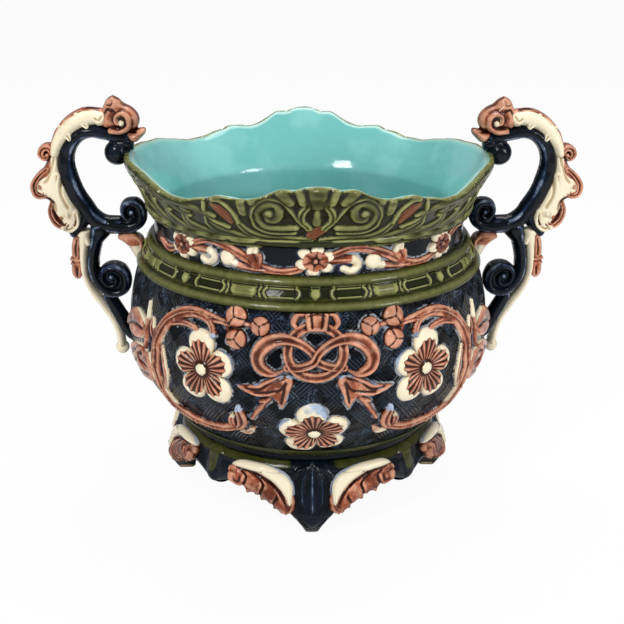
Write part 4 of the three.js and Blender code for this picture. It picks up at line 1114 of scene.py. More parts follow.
def shell_relief():
    relief = patch(on_apron, [((6, 14), (37, 46.5))], .5, margin=2.0)
    relief.area(SHELL_BODY, 4.2, 3.0)
    # The curls' ends get painted highlights, and the grooves beside them painted shade with pooled
    # glaze.
    for curl in SHELL_CURLS:
        relief.stroke(curl, swell(4, 7.6), 5.5, "leaf")
        relief.dome(curl[-1], 3.0, 6.0, crest=.3)
        relief.line([(a - 2.2, b - 1.2) for a, b in curl[:3]], 1.6, 1.5, pool=1)
    relief.stroke(((8, 30), (7.8, 24), (9, 18.6)), swell(2.4, 4.4), 4.8, "leaf")
    relief.area(SHELL_CREAM, 6.4, 3.6, cream=lambda t, s,
                deep: 1 - .55 * (t > .6) * (1 - ease(deep, 0, 1)),
                blue=lambda t, s, deep: .7 * (t < .5) * (1 - ease(deep, .2, 1)))
    # Painted shade with pooled glaze in a groove under the cream lip.
    relief.line([(a + .4, b - .9) for a, b in SHELL_CREAM[8:]], 1.5, 1.2, pool=1)
    return relief.finish(unevenness=.3, pool_and_shade_depth=.7)


def on_base_roll():
    keys = []
    for i, a in enumerate(np.linspace(-90, 90, 13)):
        height = 59.5 + 3.5 * math.sin(math.radians(a))
        out = 1.6 * math.cos(math.radians(a)) ** .7
        keys.append(plain(i, float(wall_radius(height)) + .1 + out, height))
    keys += [plain(13, float(wall_radius(63)) - 1.4, 63), plain(14, 89.6, 56),
             plain(15, *keys[0][1:4:2])]
    relief = ring(keys, 500, 20, ([0, .8, 1], [0, 12, 15]))
    # Painted shade, with pooled glaze, above and below the roll's middle.
    relief.tones["pool"] = .7 * (1 - bell(relief.v - 8, 3.4))
    mesh = relief.finish(close=False, unevenness=.15)
    tidy(mesh, SEAM)
    return mesh


# ---- relief of one face of the belly, in [angle, percent of the belly's height] ----

def belly(path, side=1):
    return [(side * a, BELLY_BOTTOM + (SHOULDER_HEIGHT - BELLY_BOTTOM) * p / 100) for a, p in path]


SIDE_FLOWER = (33.3, 62.6)
LOW_FLOWER = (0, 27)
BERRIES = (((23.4, 95.2), 7.3), ((15.8, 91.6), 6.3), ((22.8, 83.6), 7.0))
SCROLL = ((24, 27), (30, 23), (37, 21.2), (45, 22.5), (50.5, 27.9), (53, 36.9), (53.3, 47.7),
          (53, 58.6), (52, 70.3), (49, 81.1), (44, 89.2), (38, 93.2), (31, 92.3), (25, 91))
SCROLL_SHOOT = ((38, 93.5), (33, 91.5), (30.6, 87.6), (30, 82.8))
SCROLL_BUD = ((24.5, 26), (22.6, 30.5), (22.2, 36), (22.8, 43))
SCROLL_BUD_LEAF = ((25.5, 26), (26, 31), (25, 36))
HOOK = ((-7.8, 70.2), (-4.2, 71), (-.8, 73.6), (1, 79), (4.5, 84), (9, 86), (13.4, 83.2),
        (16, 76.6),
        (15.2, 69.6), (11.6, 66.6), (9.2, 68.6))
BELL_LEAF = ((6.6, 66), (10.6, 65.6), (13.6, 62.4), (17.2, 58.8), (22.6, 57.4), (22.6, 57.4),
             (19.8, 54.2), (16.2, 51.6), (12.6, 53.4), (10.8, 50.5), (9.6, 44.4), (9.6, 44.4),
             (7.8, 50.2), (7.3, 55.5), (5.8, 61))
BELL_LEAF_FOLD = ((8, 65), (12.4, 62), (15.4, 57.4), (20.4, 57))
BELL_LEAF_LIP = ((8.4, 61.4), (9.8, 57.8), (13, 56.4), (17, 55.2))
BELL_STEM = ((12, 54), (15.4, 45), (18.8, 35.4))
CLASP = ((-3.4, 100.4), (.3, 102.2), (4, 100.4), (3.7, 96), (3.1, 90), (3.1, 90), (-2.5, 90),
         (-2.5, 90), (-3.1, 96))
SIDE_LEAF = ((57.6, 71), (60, 77.6), (65, 81.4), (70, 80), (74.6, 74), (80, 61.6), (80, 61.6),
             (73, 63.6), (67, 61.6), (61, 64.6))
SIDE_LEAF_LOWER = ((55, 55), (58, 61), (63, 61.6), (68, 59.4), (74, 54), (80, 40), (79.4, 28),
                   (79.4, 28), (72, 29.4), (66, 35.6), (60.6, 36), (56, 41))
SIDE_SPEAR = ((74.5, 41.4), (66, 41.4), (60.5, 54.1), (58.6, 73.9), (58.8, 89.2))


def draw_flower(relief, place, radius, rise, turn=0.0, blue_petals=()):
    """Five broad petals round a grooved brown star and a raised button."""
    at, across, upward = relief.local(place, radius + 3)
    out = np.hypot(across, upward)
    bearing = np.degrees(np.arctan2(across, upward)) - turn
    off = folded(bearing, 72)
    lobe = np.clip(np.cos(np.radians(off / 36 * 90)), 0, 1)
    petal = np.round((bearing % 360) / 72) % 5
    length = radius * (1 + .06 * np.cos(2.1 * petal + 1) + .04 * np.cos(4.4 * petal))
    outline = length * (.52 + .48 * lobe ** .5)
    s = out / outline
    rays = np.cos(np.radians(bearing * 25))
    star_edge = radius * (.43 + .35 * lobe ** .6 + .03 * rays)
    star = 1 - ease(out, star_edge - .7, star_edge + .7)
    cup = .5 + .5 * ease(out / radius, .2, .72)
    valley = bell(off - 36, 8) * ease(out / radius, .2, .5)
    top = rise * np.clip(1 - s ** 7, 0, 1) ** .5 * (cup - .45 * valley)
    top += star * (.5 * rays * ease(out / radius, .2, .34) - .3)
    height = np.where(s < 1, top, -(out - outline) * EDGE_SLOPE)
    wear_and_sheen = .5 + .5 * np.sin(np.radians(bearing * 3) + 1.3 * petal)
    blue = np.isin(petal, blue_petals) * ease(s, .55, .9) * (.35 + .4 * wear_and_sheen)
    rim = ease(s, .86, 1.02) * (.25 + .5 * wear_and_sheen)
    # The star's grooves and the valleys between petals get pool, pooled glaze with painted shade;
    # the star's ridges get crest, painted highlights with thin glaze.
    tones = {"cream": 1 - star, "pool": star * (.22 - .66 * rays) + .35 * valley * (1 - star),
             "crest": star * rays * .8, "blue": np.maximum(blue, rim) * (1 - star)}
    relief.raise_to(at, np.maximum(height, -SUNK), tones)
    # The dark ring round the button is pooled glaze with painted shade.
    relief.dome(place, radius * .24, rise * .62 + .2, "flat", pool=1, cream=0)
    relief.dome(place, radius * .185, rise * .7 + 1.9, cream=1)


def flower_mesh(place, radius, rise, turn=0.0, blue_petals=()):
    place = belly([place])[0]
    relief = patch(on_wall, [[place]], .48, margin=radius + 4)
    draw_flower(relief, place, radius, rise, turn, blue_petals)
    return relief.finish(unevenness=.35, pool_and_shade_depth=.8)


def knot_mesh():
    centre = belly([(0, 79)])[0]
    ring_path = [(centre[0] + 17.2 / GIRTH_DEGREE * math.sin(a), centre[1] - 15.6 * math.cos(a))
                 for a in np.linspace(0, 2 * math.pi, 25)]
    relief = patch(on_wall, [ring_path, belly(HOOK), belly(HOOK, -1)], .46, margin=7)
    # A painted highlight, with some wear, runs along the raised edges of the ring and ribbons.
    wear_and_sheen = lambda t, s, side: .5 * ease(s, .45, .8) * (1 - ease(s, .9, 1))
    relief.stroke(ring_path, 6.2, 3.7, "ribbon", spots=48, crest=wear_and_sheen)
    over = lambda t: (4.9 + .9 * np.sin(t * 2.5 * math.pi)) * (.55 + .45 * ease(t, 0, .12))
    under = lambda t: (4.9 - .9 * np.sin(t * 2.5 * math.pi)) * (.55 + .45 * ease(t, 0, .12))
    bend = lambda t: (5.2 + 4.2 * bell(t - .66, .2)) * (1 - .72 * ease(t, .86, 1))
    for side, rise in ((1, over), (-1, under)):
        relief.stroke(belly(HOOK, side), bend, rise, "ribbon", spots=52, crest=wear_and_sheen)
    for a in (-1, 1):
        ear = belly(((a * 3, 99), (a * 5.2, 98.6), (a * 6.3, 94.6), (a * 5.4, 91.8)))
        relief.stroke(ear, swell(2.4, 4.4), 4.9, "round")
    # The clasp's facets pale towards their edges with painted highlights.
    relief.area(belly(CLASP), 6.6, 1.6, crest=lambda t, s, side: .45 * ease(s, 0, .6))
    # Its grooves get painted shade with pooled glaze.
    for a in (-1.2, 1.8):
        relief.line(belly(((a * 1.15, 100), (a * .8, 91))), 1.3, 1.0, pool=.9)
    relief.line(belly(((-3, 97.6), (.3, 99), (3.6, 97.6))), 1.0, .7, pool=.7)
    return relief.finish(unevenness=.22, pool_and_shade_depth=.6)


def bell_leaves_mesh():
    relief = patch(on_wall, [belly(BELL_LEAF), belly(BELL_STEM)], .46)
    relief.stroke(belly(BELL_STEM), swell(2.4, 3.8), 2.2, "ridge")
    relief.stroke(belly(((12.2, 54), (13.4, 50), (15.6, 48.6))), swell(2, 4), 2.2, "ridge")
    tip = lambda t, s, deep: .8 * ease(s, .5, .95) * (np.sin(t * 40) * .5 + .5)
    relief.area(belly(BELL_LEAF), 3.9, 3.4, blue=tip)
    # The folds get painted shade with pooled glaze, and the raised edges painted highlights.
    for fold, width, depth in ((BELL_LEAF_FOLD, 2.2, .9), (BELL_LEAF_LIP, 1.6, .8),
                               (((8, 63), (8.6, 57), (9.4, 49)), 1.8, .9)):
        relief.line(belly(fold), width, depth, pool=.95)
    for edge in (((10.8, 64.2), (14.4, 60.4), (18.6, 58)), ((10.6, 57), (14.4, 53.8), (18, 54.6)),
                 ((7, 60), (7.9, 53.6), (9, 47.6))):
        relief.line(belly(edge), 1.3, -.5, crest=.9)
    return relief.finish(unevenness=.2, pool_and_shade_depth=.7)


def branch_mesh():
    spots = [belly([place])[0] for place, _ in BERRIES]
    relief = patch(on_wall, [belly(SCROLL), belly(SCROLL_BUD), spots], .55, margin=9)
    body = lambda t: 4.2 + 5.8 * np.sin(np.pi * np.clip(t * 1.04, 0, 1)) ** .55
    lip = lambda t, s, side: .8 * (side > 0) * ease(s, .7, .95) * ease(t, .12, .3) \
        * (1 - ease(t, .6, .8)) * (.55 + .45 * np.sin(t * 21))
    relief.stroke(belly(SCROLL), body, 3.2, "leaf", spots=70, cream=lip)
    # Crest along the scroll's ridge is a painted highlight with thin glaze.
    relief.stroke(belly(SCROLL[1:-1]), swell(1.2, 2.6), 4.2, "ridge", spots=60, crest=.6)
    for start in (4, 6, 8):
        a, p = SCROLL[start]
        lobe = belly(((a - .5, p - 2), (a + 2.8, p + 4), (a + 3.2, p + 11)))
        relief.stroke(lobe, swell(2.4, 6.4), 2.7, "leaf",
                      cream=lambda t, s, side: .8 * (side > 0) * ease(t, .4, .8))
    inner = belly(((50.5, 40), (48.2, 50), (48.6, 60), (49.4, 68)))
    relief.stroke(inner, swell(1.5, 4.4), 2.6, "leaf",
                  cream=lambda t, s, side: .7 * ease(s, .2, .7))
    relief.stroke(belly(SCROLL_SHOOT), taper(6.4, 3.2), 3.6, "leaf",
                  blue=lambda t, s, side: .7 * ease(t, .8, .98))
    relief.stroke(belly(((46, 84), (41, 86), (36, 84.5), (35, 80))), taper(5, 2.8), 2.8, "leaf")
    relief.stroke(belly(SCROLL_BUD), swell(2.4, 7.4), 3.6, "leaf",
                  blue=lambda t, s, side: .7 * ease(t, .7, .95))
    relief.stroke(belly(SCROLL_BUD_LEAF), swell(2, 5), 3.0, "leaf",
                  cream=lambda t, s, side: .6 * ease(t, .7, .95))
    relief.stroke(belly(((24, 23.4), (21, 24), (19, 28))), swell(2, 4.8), 2.6, "leaf", cream=.5)
    for stalk in (((30, 92), (23.4, 92.4), (15.8, 91.2)), ((27, 92), (22.8, 80.4))):
        relief.stroke(belly(stalk), 3.2, 1.8, "round")
    # Each berry gets a painted highlight on its top and painted shade round its foot; the grooves
    # across it get painted shade with pooled glaze.
    for i, (spot, (_, radius)) in enumerate(zip(spots, BERRIES)):
        relief.dome(spot, radius, 5.2, crest=lambda t, s, side: 1.1 * (1 - ease(s, .1, .62)),
                    pool=lambda t, s, side: .9 * ease(s, .72, .95))
        for turn in (20, 140, 260):
            a = math.radians(turn + 40 * i)
            end = (spot[0] + radius / GIRTH_DEGREE * math.sin(a), spot[1] + radius * math.cos(a))
            relief.line((spot, end), 1.3, .95, spots=8, pool=.9)
    relief.tones["navy"] = .5 * ease(relief.v, SHOULDER_HEIGHT - 2, SHOULDER_HEIGHT + 1)
    return relief.finish(unevenness=.25, pool_and_shade_depth=.6)


def side_leaf_mesh():
    relief = patch(on_wall, [belly(SIDE_LEAF), belly(SIDE_LEAF_LOWER), belly(SIDE_SPEAR)], .6)
    edge = lambda t, s, deep: .8 * (1 - ease(deep, .6, 1.8)) * (.5 + .5 * np.sin(t * 15))
    relief.stroke(belly(SIDE_SPEAR), swell(2, 6), 2.4, "ridge",
                  cream=lambda t, s, side: .8 * ease(t, .76, .92))
    relief.area(belly(SIDE_LEAF_LOWER), 3.2, 4, cream=edge)
    relief.area(belly(SIDE_LEAF), 3.6, 4, cream=edge)
    # The veins get painted shade with pooled glaze.
    for vein in (((59.4, 72), (65, 72.4), (71, 69), (77, 63)),
                 ((58, 50), (65, 50), (72, 43.6), (78, 32)),
                 ((60, 56.6), (67, 54.6), (73, 48)), ((58.6, 44), (65, 42), (72, 35.6))):
        relief.line(belly(vein), 1.9, 1.1, pool=.95)
    relief.stroke(belly(((60, 60), (63.6, 56), (64, 50), (60.6, 47))), swell(2.4, 5), 4.2, "round")
    return relief.finish(unevenness=.25, pool_and_shade_depth=.6)


# ---- the neck's frieze, in [angle, percent of the neck's length above its middle] ----

VINE = ((3, 6), (7, 26), (12, 42), (18, 34), (24, 10), (31, -28), (37, -42), (43, -32), (47, -8))
VINE_LEAF = ((30.5, -24), (29.6, 2), (28.6, 22), (29.6, 38))
VINE_BUD = ((33, -38), (27.8, -36), (22.4, -26), (18.6, -10))
VINE_CURL = ((4, 2), (9, 4), (12.6, 0), (14, -20), (11.8, -40), (9.2, -30))


def neck(path, start=0.0):
    middle, length = (NECK_BOTTOM + NECK_TOP) / 2, NECK_TOP - NECK_BOTTOM
    return [(start + a, middle + length * p / 100) for a, p in path]


NECK_REPEAT = 49.0  # degrees from one flower of the neck to the next


def neck_frieze_mesh():
    relief = patch(on_wall, [[(-66, NECK_BOTTOM + 1), (66, NECK_TOP - 1)]], .5, margin=1.5)
    tip = lambda t, s, side: ease(t, .5, .85)
    for start in (-NECK_REPEAT, 0.0):
        relief.stroke(neck(VINE, start), swell(3.4, 5.8), 2.5, "leaf", spots=48)
        relief.stroke(neck(VINE_LEAF, start), swell(3.4, 9.4), 2.9, "leaf", cream=tip)
        relief.stroke(neck(VINE_BUD, start), taper(3.8, 6), 2.7, "ridge", cream=tip)
        relief.dome(neck([(19.4, -10)], start)[0], 5.2, 3.3, cream=1)
        relief.stroke(neck(VINE_CURL, start), taper(6.4, 4.6), 2.7, "ridge",
                      cream=lambda t, s, side: ease(t, .3, .6))
    for start, path in ((NECK_REPEAT, VINE[:4]), (-NECK_REPEAT, ((-16, -20), (-9, -36), (-2, -6)))):
        relief.stroke(neck(path, start), swell(3.2, 5.6), 2.4, "leaf")
    for i, start in enumerate((-NECK_REPEAT, 0.0, NECK_REPEAT)):
        place = neck([(0, 2)], start)[0]
        at, across, upward = relief.local(place, 15)
        across = across / 1.22
        out, bearing = np.hypot(across, upward), np.degrees(np.arctan2(across, upward)) - 9 * i
        lobe = np.clip(np.cos(np.radians(folded(bearing, 60) / 30 * 90)), 0, 1) ** .7
        outline = 10.4 * (.56 + .44 * lobe)
        s = out / outline
        vein = bell(folded(bearing, 60), 5) * .5
        top = 3.0 * np.clip(1 - s ** 6, 0, 1) ** .5 * (.7 + .3 * ease(s, .1, .8)) - vein
        height = np.where(s < 1, top, -(out - outline) * EDGE_SLOPE)
        relief.raise_to(at, np.maximum(height, -SUNK), {"cream": ease(out, 5.4, 7.4)})
        # A dark ring of painted shade with pooled glaze round each button, and a painted highlight
        # on the button.
        relief.dome(place, 2.7, 2.9, "flat", pool=1)
        relief.dome(place, 1.8, 4.0, crest=.4)
    return relief.finish(unevenness=.15, pool_and_shade_depth=.6)


# ---- handles: drawn flat as [out, up] from the rim's edge over the handle, both sides alike ----

def on_handle(out, up):
    out, up = np.broadcast_arrays(np.asarray(out, float), np.asarray(up, float))
    return np.stack([RIM_RADIUS + out, np.zeros_like(out), RIM_HEIGHT + up], -1)




def handle_sheet(corners, cell=.55):
    (left, bottom), (right, top) = corners
    return Relief(on_handle, int((right - left) / cell), int((top - bottom) / cell),
                  ((left, right), (bottom, top)), floor=-9.0)


def handle_mesh(relief, cell=.55, unevenness=.25, pool_and_shade_depth=.9):
    """Turns a half-thickness field into a closed piece, alike on both sides of the handle."""
    rows, columns = relief.shape
    field = relief.height.reshape(rows, columns)
    up, right = np.gradient(np.minimum(field, 0), cell)
    slope = np.maximum(np.hypot(up, right), 1e-6)
    gap = np.maximum(-field, 0) / EDGE_SLOPE
    u = relief.u + (right / slope * np.minimum(gap, cell * 1.5)).ravel()
    v = relief.v + (up / slope * np.minimum(gap, cell * 1.5)).ravel()
    # Ridges get crest, painted highlights with thin glaze, and hollows get pool, painted shade with
    # pooled glaze.
    soft = blurred(np.maximum(field, 0), 3).ravel()
    over = np.maximum(relief.height, 0) - soft
    inner = ease(relief.height, .5, 3)
    relief.tones["crest"] = np.clip(relief.tone("crest") + inner * over / pool_and_shade_depth, 0, 1)
    relief.tones["pool"] = np.clip(relief.tone("pool") - inner * over / pool_and_shade_depth, 0, 1)
    half = np.maximum(relief.height, 0)
    half = half + unevenness * lumps(relief.ground, 11.0) * ease(half, 0, 2)
    points = on_handle(u, v)
    points[:, 1] = -half
    mesh = relief.mesh
    move_points(mesh, points)
    for name, numbers in relief.tones.items():
        write_tone(mesh, name, numbers)
    write_tone(mesh, "lift", gap.ravel())
    bm = bmesh.new()
    bm.from_mesh(mesh)
    lift = bm.verts.layers.float["lift"]
    outside = [f for f in bm.faces if any(x[lift] > cell * 1.45 for x in f.verts)]
    bmesh.ops.delete(bm, geom=outside, context="FACES")
    edge = {x for e in bm.edges if e.is_boundary for x in e.verts}
    for x in edge:
        x.co.y = 0
    copy = bmesh.ops.duplicate(bm, geom=list(bm.verts) + list(bm.edges) + list(bm.faces))
    for item in copy["geom"]:
        if isinstance(item, bmesh.types.BMVert):
            item.co.y *= -1
    bmesh.ops.remove_doubles(bm, verts=[x for x in bm.verts if abs(x.co.y) < 1e-6], dist=.02)
    bmesh.ops.recalc_face_normals(bm, faces=bm.faces)
    bm.to_mesh(mesh)
    bm.free()
    mesh.attributes.remove(mesh.attributes["lift"])
    return mesh


def widths(*pairs):
    """A width or thickness given at shares of a path."""
    shares, sizes = zip(*pairs)
    return lambda t: np.interp(t, shares, sizes)


STRAP = ((-3, 9.8), (4, 11.4), (12.5, 13.2), (20, 14.6), (28.2, 12.2), (34.4, 6), (37.6, -1.8),
         (38.1, -10),
         (36.2, -20), (32.6, -29.4), (27.4, -37.4), (22.4, -45), (15, -50.2), (5, -51))
UPPER_SPIRAL = ((11, -50.6), (4, -51.4), (-3, -51.6), (-9.4, -48), (-11, -41), (-7.4, -35.2),
                (-1, -35.6), (1, -41), (-2.4, -45.6), (-6.4, -43.4), (-4.8, -40.4))
LOWER_SPIRAL = ((18, -54.6), (20.6, -61), (23, -69), (24.4, -77), (23.6, -86), (19.4, -94.2),
                (12.6, -99.6), (4.6, -98), (1.8, -91), (4, -84), (10, -80.8), (16.4, -82.8),
                (18, -88.6), (14.8, -93.4), (9.8, -93.2), (8.4, -88.8), (11.4, -87.2))
OUTER_RIB = ((29, -55), (30.2, -66), (31, -77), (30.2, -88), (26, -98.4), (19.4, -108.4),
             (13.4, -118), (9.2, -128), (7.6, -138))
STRUT = ((14.5, -103.5), (11, -111), (6.4, -120), (1.6, -129), (-4.5, -134), (-10.5, -135.5))
RIBBON = ((36, -56.5), (38.6, -63.5), (39.4, -72), (38.2, -75.4), (40.4, -83), (39, -89),
          (34.4, -91), (32.2, -86), (32, -79), (33.4, -75.4), (33.2, -70), (32, -64), (32, -57))
BRACKET = ((7, -60.5), (5.6, -57), (1, -55), (-6, -55.2), (-11, -61), (-14, -70), (-15.4, -79.5),
           (-9.4, -79.5), (-5, -73.5), (-1.4, -66.8), (2.4, -62.8))
FINIAL = ((14, 18), (13, 26), (11, 31.5), (8.4, 36.4), (4.6, 38.2), (4.6, 38.2), (.4, 36.2),
          (-2.4, 33), (-6.8, 31.2), (-11.4, 27.2), (-13.2, 21.5), (-11, 16.6), (-5, 14.6),
          (4, 14.8))
FINIAL_CURL = ((6, 15.6), (-.6, 15.4), (-5.8, 18.6), (-6.4, 24), (-2.6, 27.4), (1.8, 25.6),
               (1.8, 21.4),
               (-1.4, 20.6))
FINIAL_TIP = ((-3, 14.4), (-8, 14.8), (-12, 16.6), (-16.4, 17), (-16.8, 13.4), (-13, 9.6), (-9, 6),
              (-4, 9.4))
ACANTHUS = ((42.4, 3), (47.4, 3), (50.4, -4), (52.6, -9.4), (57.4, -14.6), (61.4, -20.4),
            (61.8, -27), (58.8, -31), (53.4, -32.2), (50.4, -34), (50.4, -39), (49, -45),
            (46, -50.4), (41, -53.8), (35.4, -55), (30.6, -52), (30.4, -45.4), (32, -40),
            (36, -29.5), (41, -18), (43, -9))


def strap_mesh():
    relief = handle_sheet(((-8, -60), (51, 22)))
    # A painted highlight, with some wear, in a streak along one side of the strap.
    wear_and_sheen = lambda t, s, side: 1.3 * (side < 0) * bell(s - .5, .2) * (.7 + .3 * np.sin(t * 23))
    relief.stroke(STRAP, widths((0, 8.6), (.2, 9.4), (.42, 11), (.6, 13), (.8, 12), (.92, 13),
                                (1, 13)),
                  8.0, "round", spots=70, crest=wear_and_sheen)
    relief.stroke(((-6, 6), (3.5, 9)), 9.4, 7.4, "round")
    # A painted highlight on the knob's top, and painted shade in the groove beside it.
    relief.dome((3.6, -.2), 8.6, 8.9, crest=lambda t, s, side: .5 * (1 - ease(s, 0, .4)))
    relief.line(((-2, 8.6), (4.5, 7.6), (9.5, 7), (12, 6)), 1.5, 1.4, pool=1)
    relief.stroke(((36, -56), (30, -50), (26, -43)), widths((0, 7), (1, 8)), 8.0, "round")
    return handle_mesh(relief, pool_and_shade_depth=2.4)


def volute_mesh(path, corners, thick, width, boss, disc):
    """A spiral that coils in to a raised eye, on a thin disc."""
    relief = handle_sheet(corners)
    *centre, radius = disc
    # The disc between the coils takes painted shade with pooled glaze; a painted highlight streaks
    # one side of the coil and tops the eye.
    relief.dome(centre, radius, thick * .62, "flat", pool=1)
    relief.stroke(path, width, thick, "round", spots=90,
                  crest=lambda t, s, side: 1.2 * (side > 0) * bell(s - .55,
                                                                   .2) * (.6 + .4 * np.sin(t * 31)))
    relief.dome(path[-1], boss, thick + 1.0, crest=.4)
    return handle_mesh(relief, pool_and_shade_depth=2.2)


def crest_leaf_mesh():
    relief = handle_sheet(((8, -4), (54, 36)))
    spine = ((13, 24.4), (22, 24.2), (31.2, 20.2), (38.6, 13.2), (43.2, 5.6), (45, 0))
    relief.stroke(spine, widths((0, 11), (.25, 13), (.7, 11), (1, 7)), 9.2, "round", spots=40,
                  cream=lambda t, s, side: 1 - .9 * (side > 0) * ease(s, .5, .85))
    for t, size in ((.3, 7), (.62, 6.4)):
        spot = np.array(smooth_path(spine, 50)[int(t * 49)])
        relief.stroke((spot + (3, 3), spot + (-.6, -.6), spot + (-3.4, -5)),
                      widths((0, 3), (.7, size),
                      (1, 3.4)), 10.1, "leaf", cream=1)
    relief.dome((13.4, 23.4), 5.4, 10.6, cream=1)
    # The grooves get painted shade with pooled glaze.
    relief.line(((11, 25.6), (13.4, 22.8), (16, 24.2)), 1.4, 2.0, pool=1)
    relief.line(((12, 28), (20, 30), (30, 26), (38, 19)), 1.6, 1.0, pool=.8)
    return handle_mesh(relief, pool_and_shade_depth=.8)


def acanthus_mesh():
    relief = handle_sheet(((26, -60), (68, 10)))

    def body(t, s, deep):
        return 1 - (t < .66) * (1 - ease(deep + 1.4 * np.sin(t * 38), 2.4, 5.4))

    relief.area(ACANTHUS, 8.6, 7.5, cream=body)
    for lobe, width, rise, tone in (
            (((46, -1), (48.4, 3.4), (52.4, 3), (54, -.6), (51.4, -3.4), (49.4, -.8)), 5.4, 9.0, 0),
            (((50.4, -10.4), (56.4, -15.6), (60, -21.6), (59, -27.8), (54.4, -29), (52.6, -25.4),
              (55.6, -22.6)), 6.0, 10.2, 0),
            (((48.6, -33), (50.4, -39.4), (48.4, -46.4), (43.4, -50.6), (39.2, -48.6),
              (39.6, -44.4), (42.8, -43.8)), 5.2, 10.2, .15),
            (((44, -15), (45.4, -24), (43.4, -33), (38.6, -42)), 7.4, 10.4, 1),
            (((33.4, -41), (33.6, -48), (37.4, -52.4), (42, -51.4)), 7.4, 10.0, 1)):
        relief.stroke(lobe, widths((0, width * .6), (.5, width), (1, width * .6)), rise, "leaf",
                      spots=40, cream=tone)
        relief.dome(lobe[-1], width * .34, rise + .9, cream=tone)
    # The grooves get painted shade with pooled glaze.
    for groove in (((44.6, 1), (46.4, -8), (50, -17), (53, -20)), ((41.6, -18), (42, -28),
                   (37.4, -38)), ((51, -30), (47, -34), (46.4, -40))):
        relief.line(groove, 1.8, 1.6, pool=1)
    return handle_mesh(relief, pool_and_shade_depth=.7)


def finial_mesh():
    relief = handle_sheet(((-20, 3), (18, 41)))
    relief.area(FINIAL, 9.6, 6.5)
    relief.area(FINIAL_TIP, 8, 4.5)
    relief.stroke(FINIAL_CURL, widths((0, 5), (.5, 5.4), (1, 4)), 12.4, "round", spots=50,
                  cream=lambda t, s, side: .8 * (side < 0) * ease(s, .2, .7) * ease(t, .2, .5))
    relief.dome((-1.4, 21), 2.9, 13.2, cream=.9)
    # The grooves get painted shade with pooled glaze.
    relief.line(((12, 19), (10, 26), (7.4, 30), (3, 29)), 1.8, 1.8, pool=1)
    relief.line(((4, 36), (5, 33), (8.4, 33)), 1.6, 1.2, pool=.9)
    relief.line(((-6.4, 14.6), (-10, 14), (-14, 15)), 1.4, 1.2, pool=.9)
    return handle_mesh(relief, pool_and_shade_depth=.7)


def rib_mesh():
    relief = handle_sheet(((0, -143), (41, -54)))
    edge = lambda t, s, side: 1 - .9 * (side > 0) * ease(s, .6, .9)
    relief.stroke(OUTER_RIB, widths((0, 9), (.14, 6.4), (.35, 4.8), (.6, 5.4), (1, 6)), 7.0,
                  "round",
                  spots=70, cream=edge)
    relief.stroke(((31, -56.6), (28.4, -59), (26.2, -63.6)), widths((0, 7), (1, 4)), 6.8, "round",
                  cream=1)
    return handle_mesh(relief)


def ribbon_mesh():
    relief = handle_sheet(((29, -94), (42, -54)), .45)
    relief.area(RIBBON, 4.8, 2.6)
    # The cross bands carry painted highlights, and the grooves painted shade with pooled glaze.
    relief.stroke(((32.6, -76.2), (39.2, -75.2)), 2.4, 5.2, "round", crest=.4)
    relief.stroke(((32.2, -79.2), (39.2, -78.4)), 1.8, 5.0, "round", crest=.3)
    relief.line(((34, -60), (35.4, -67), (35.4, -73)), 1.4, 1.0, pool=.9)
    relief.line(((35, -81), (35.6, -88)), 1.4, 1.0, pool=.9)
    return handle_mesh(relief, .45, pool_and_shade_depth=.7)


def strut_mesh():
    relief = handle_sheet(((-13, -142), (22, -98)))
    # A painted highlight streaks one side of the strut.
    relief.stroke(STRUT, widths((0, 9), (.4, 10.4), (.8, 10), (1, 11)), 7.0, "round", spots=40,
                  crest=lambda t, s, side: .8 * (side > 0) * bell(s - .7, .2))
    return handle_mesh(relief, pool_and_shade_depth=2.2)


def bracket_mesh():
    relief = handle_sheet(((-19, -84), (12, -51)))
    relief.area(BRACKET, 8.6, 5.5, cream=0)
    low = ease(-relief.v, 62, 66) * (relief.height > 0)
    relief.tones["cream"] = np.maximum(relief.tone("cream"), low)
    for lobe in (((1.6, -58.4), (-3, -60), (-4.6, -65)), ((-5, -58.4), (-8.6, -62.6), (-9.4, -68))):
        relief.stroke(lobe, swell(2.4, 6), 9.6, "leaf", cream=.2)
    return handle_mesh(relief, pool_and_shade_depth=.7)


def bud_mesh():
    relief = handle_sheet(((1, -149.5), (14, -136)), .4)
    relief.dome((7.5, -142.5), 4.9, 4.9, cream=1)
    relief.stroke(((7.6, -138), (7.5, -141)), 5, 4.6, "round", cream=.3)
    return handle_mesh(relief, .4)


# ---- settings ----

def colour_setting(name, default, description):
    return FloatVectorProperty(name=name, description=description, default=default, min=0, max=1,
                               size=3, subtype="COLOR")


class JARDINIERE_PG_settings(bpy.types.PropertyGroup):
    """Colours of the glazes and the studio's light."""

    terracotta: colour_setting("Terracotta", TERRACOTTA, "Glaze of the scrolls, stars and berries")
    cream: colour_setting("Cream", CREAM, "Glaze of the petals and pale edges")
    navy: colour_setting("Navy", NAVY, "Glaze of the ground, the feet and the handles")
    olive: colour_setting("Olive", OLIVE, "Glaze of the rim's border, the rolls and the band")
    turquoise: colour_setting("Turquoise", TURQUOISE, "Glaze of the inside")
    light: FloatProperty(name="Light", description="Level of the studio light", default=1.0,
                         min=0.1, max=5, subtype="FACTOR")
    floor_size: FloatProperty(name="Floor", description="Radius of the pale floor", default=14.0,
                              min=1, max=60, unit="LENGTH")


FACES = (("front", 0.0), ("back", 180.0))
HANDS = (("right", False), ("left", True))
MATERIALS = {}


def material(name, make, *given):
    """One material of each name, made when a piece first needs it."""
    if name not in MATERIALS:
        MATERIALS[name] = make(*given)
    return MATERIALS[name]


def painted(name="painted_relief"):
    return material(name, relief_glaze, name)


def green():
    return material("olive_glaze", olive_glaze)


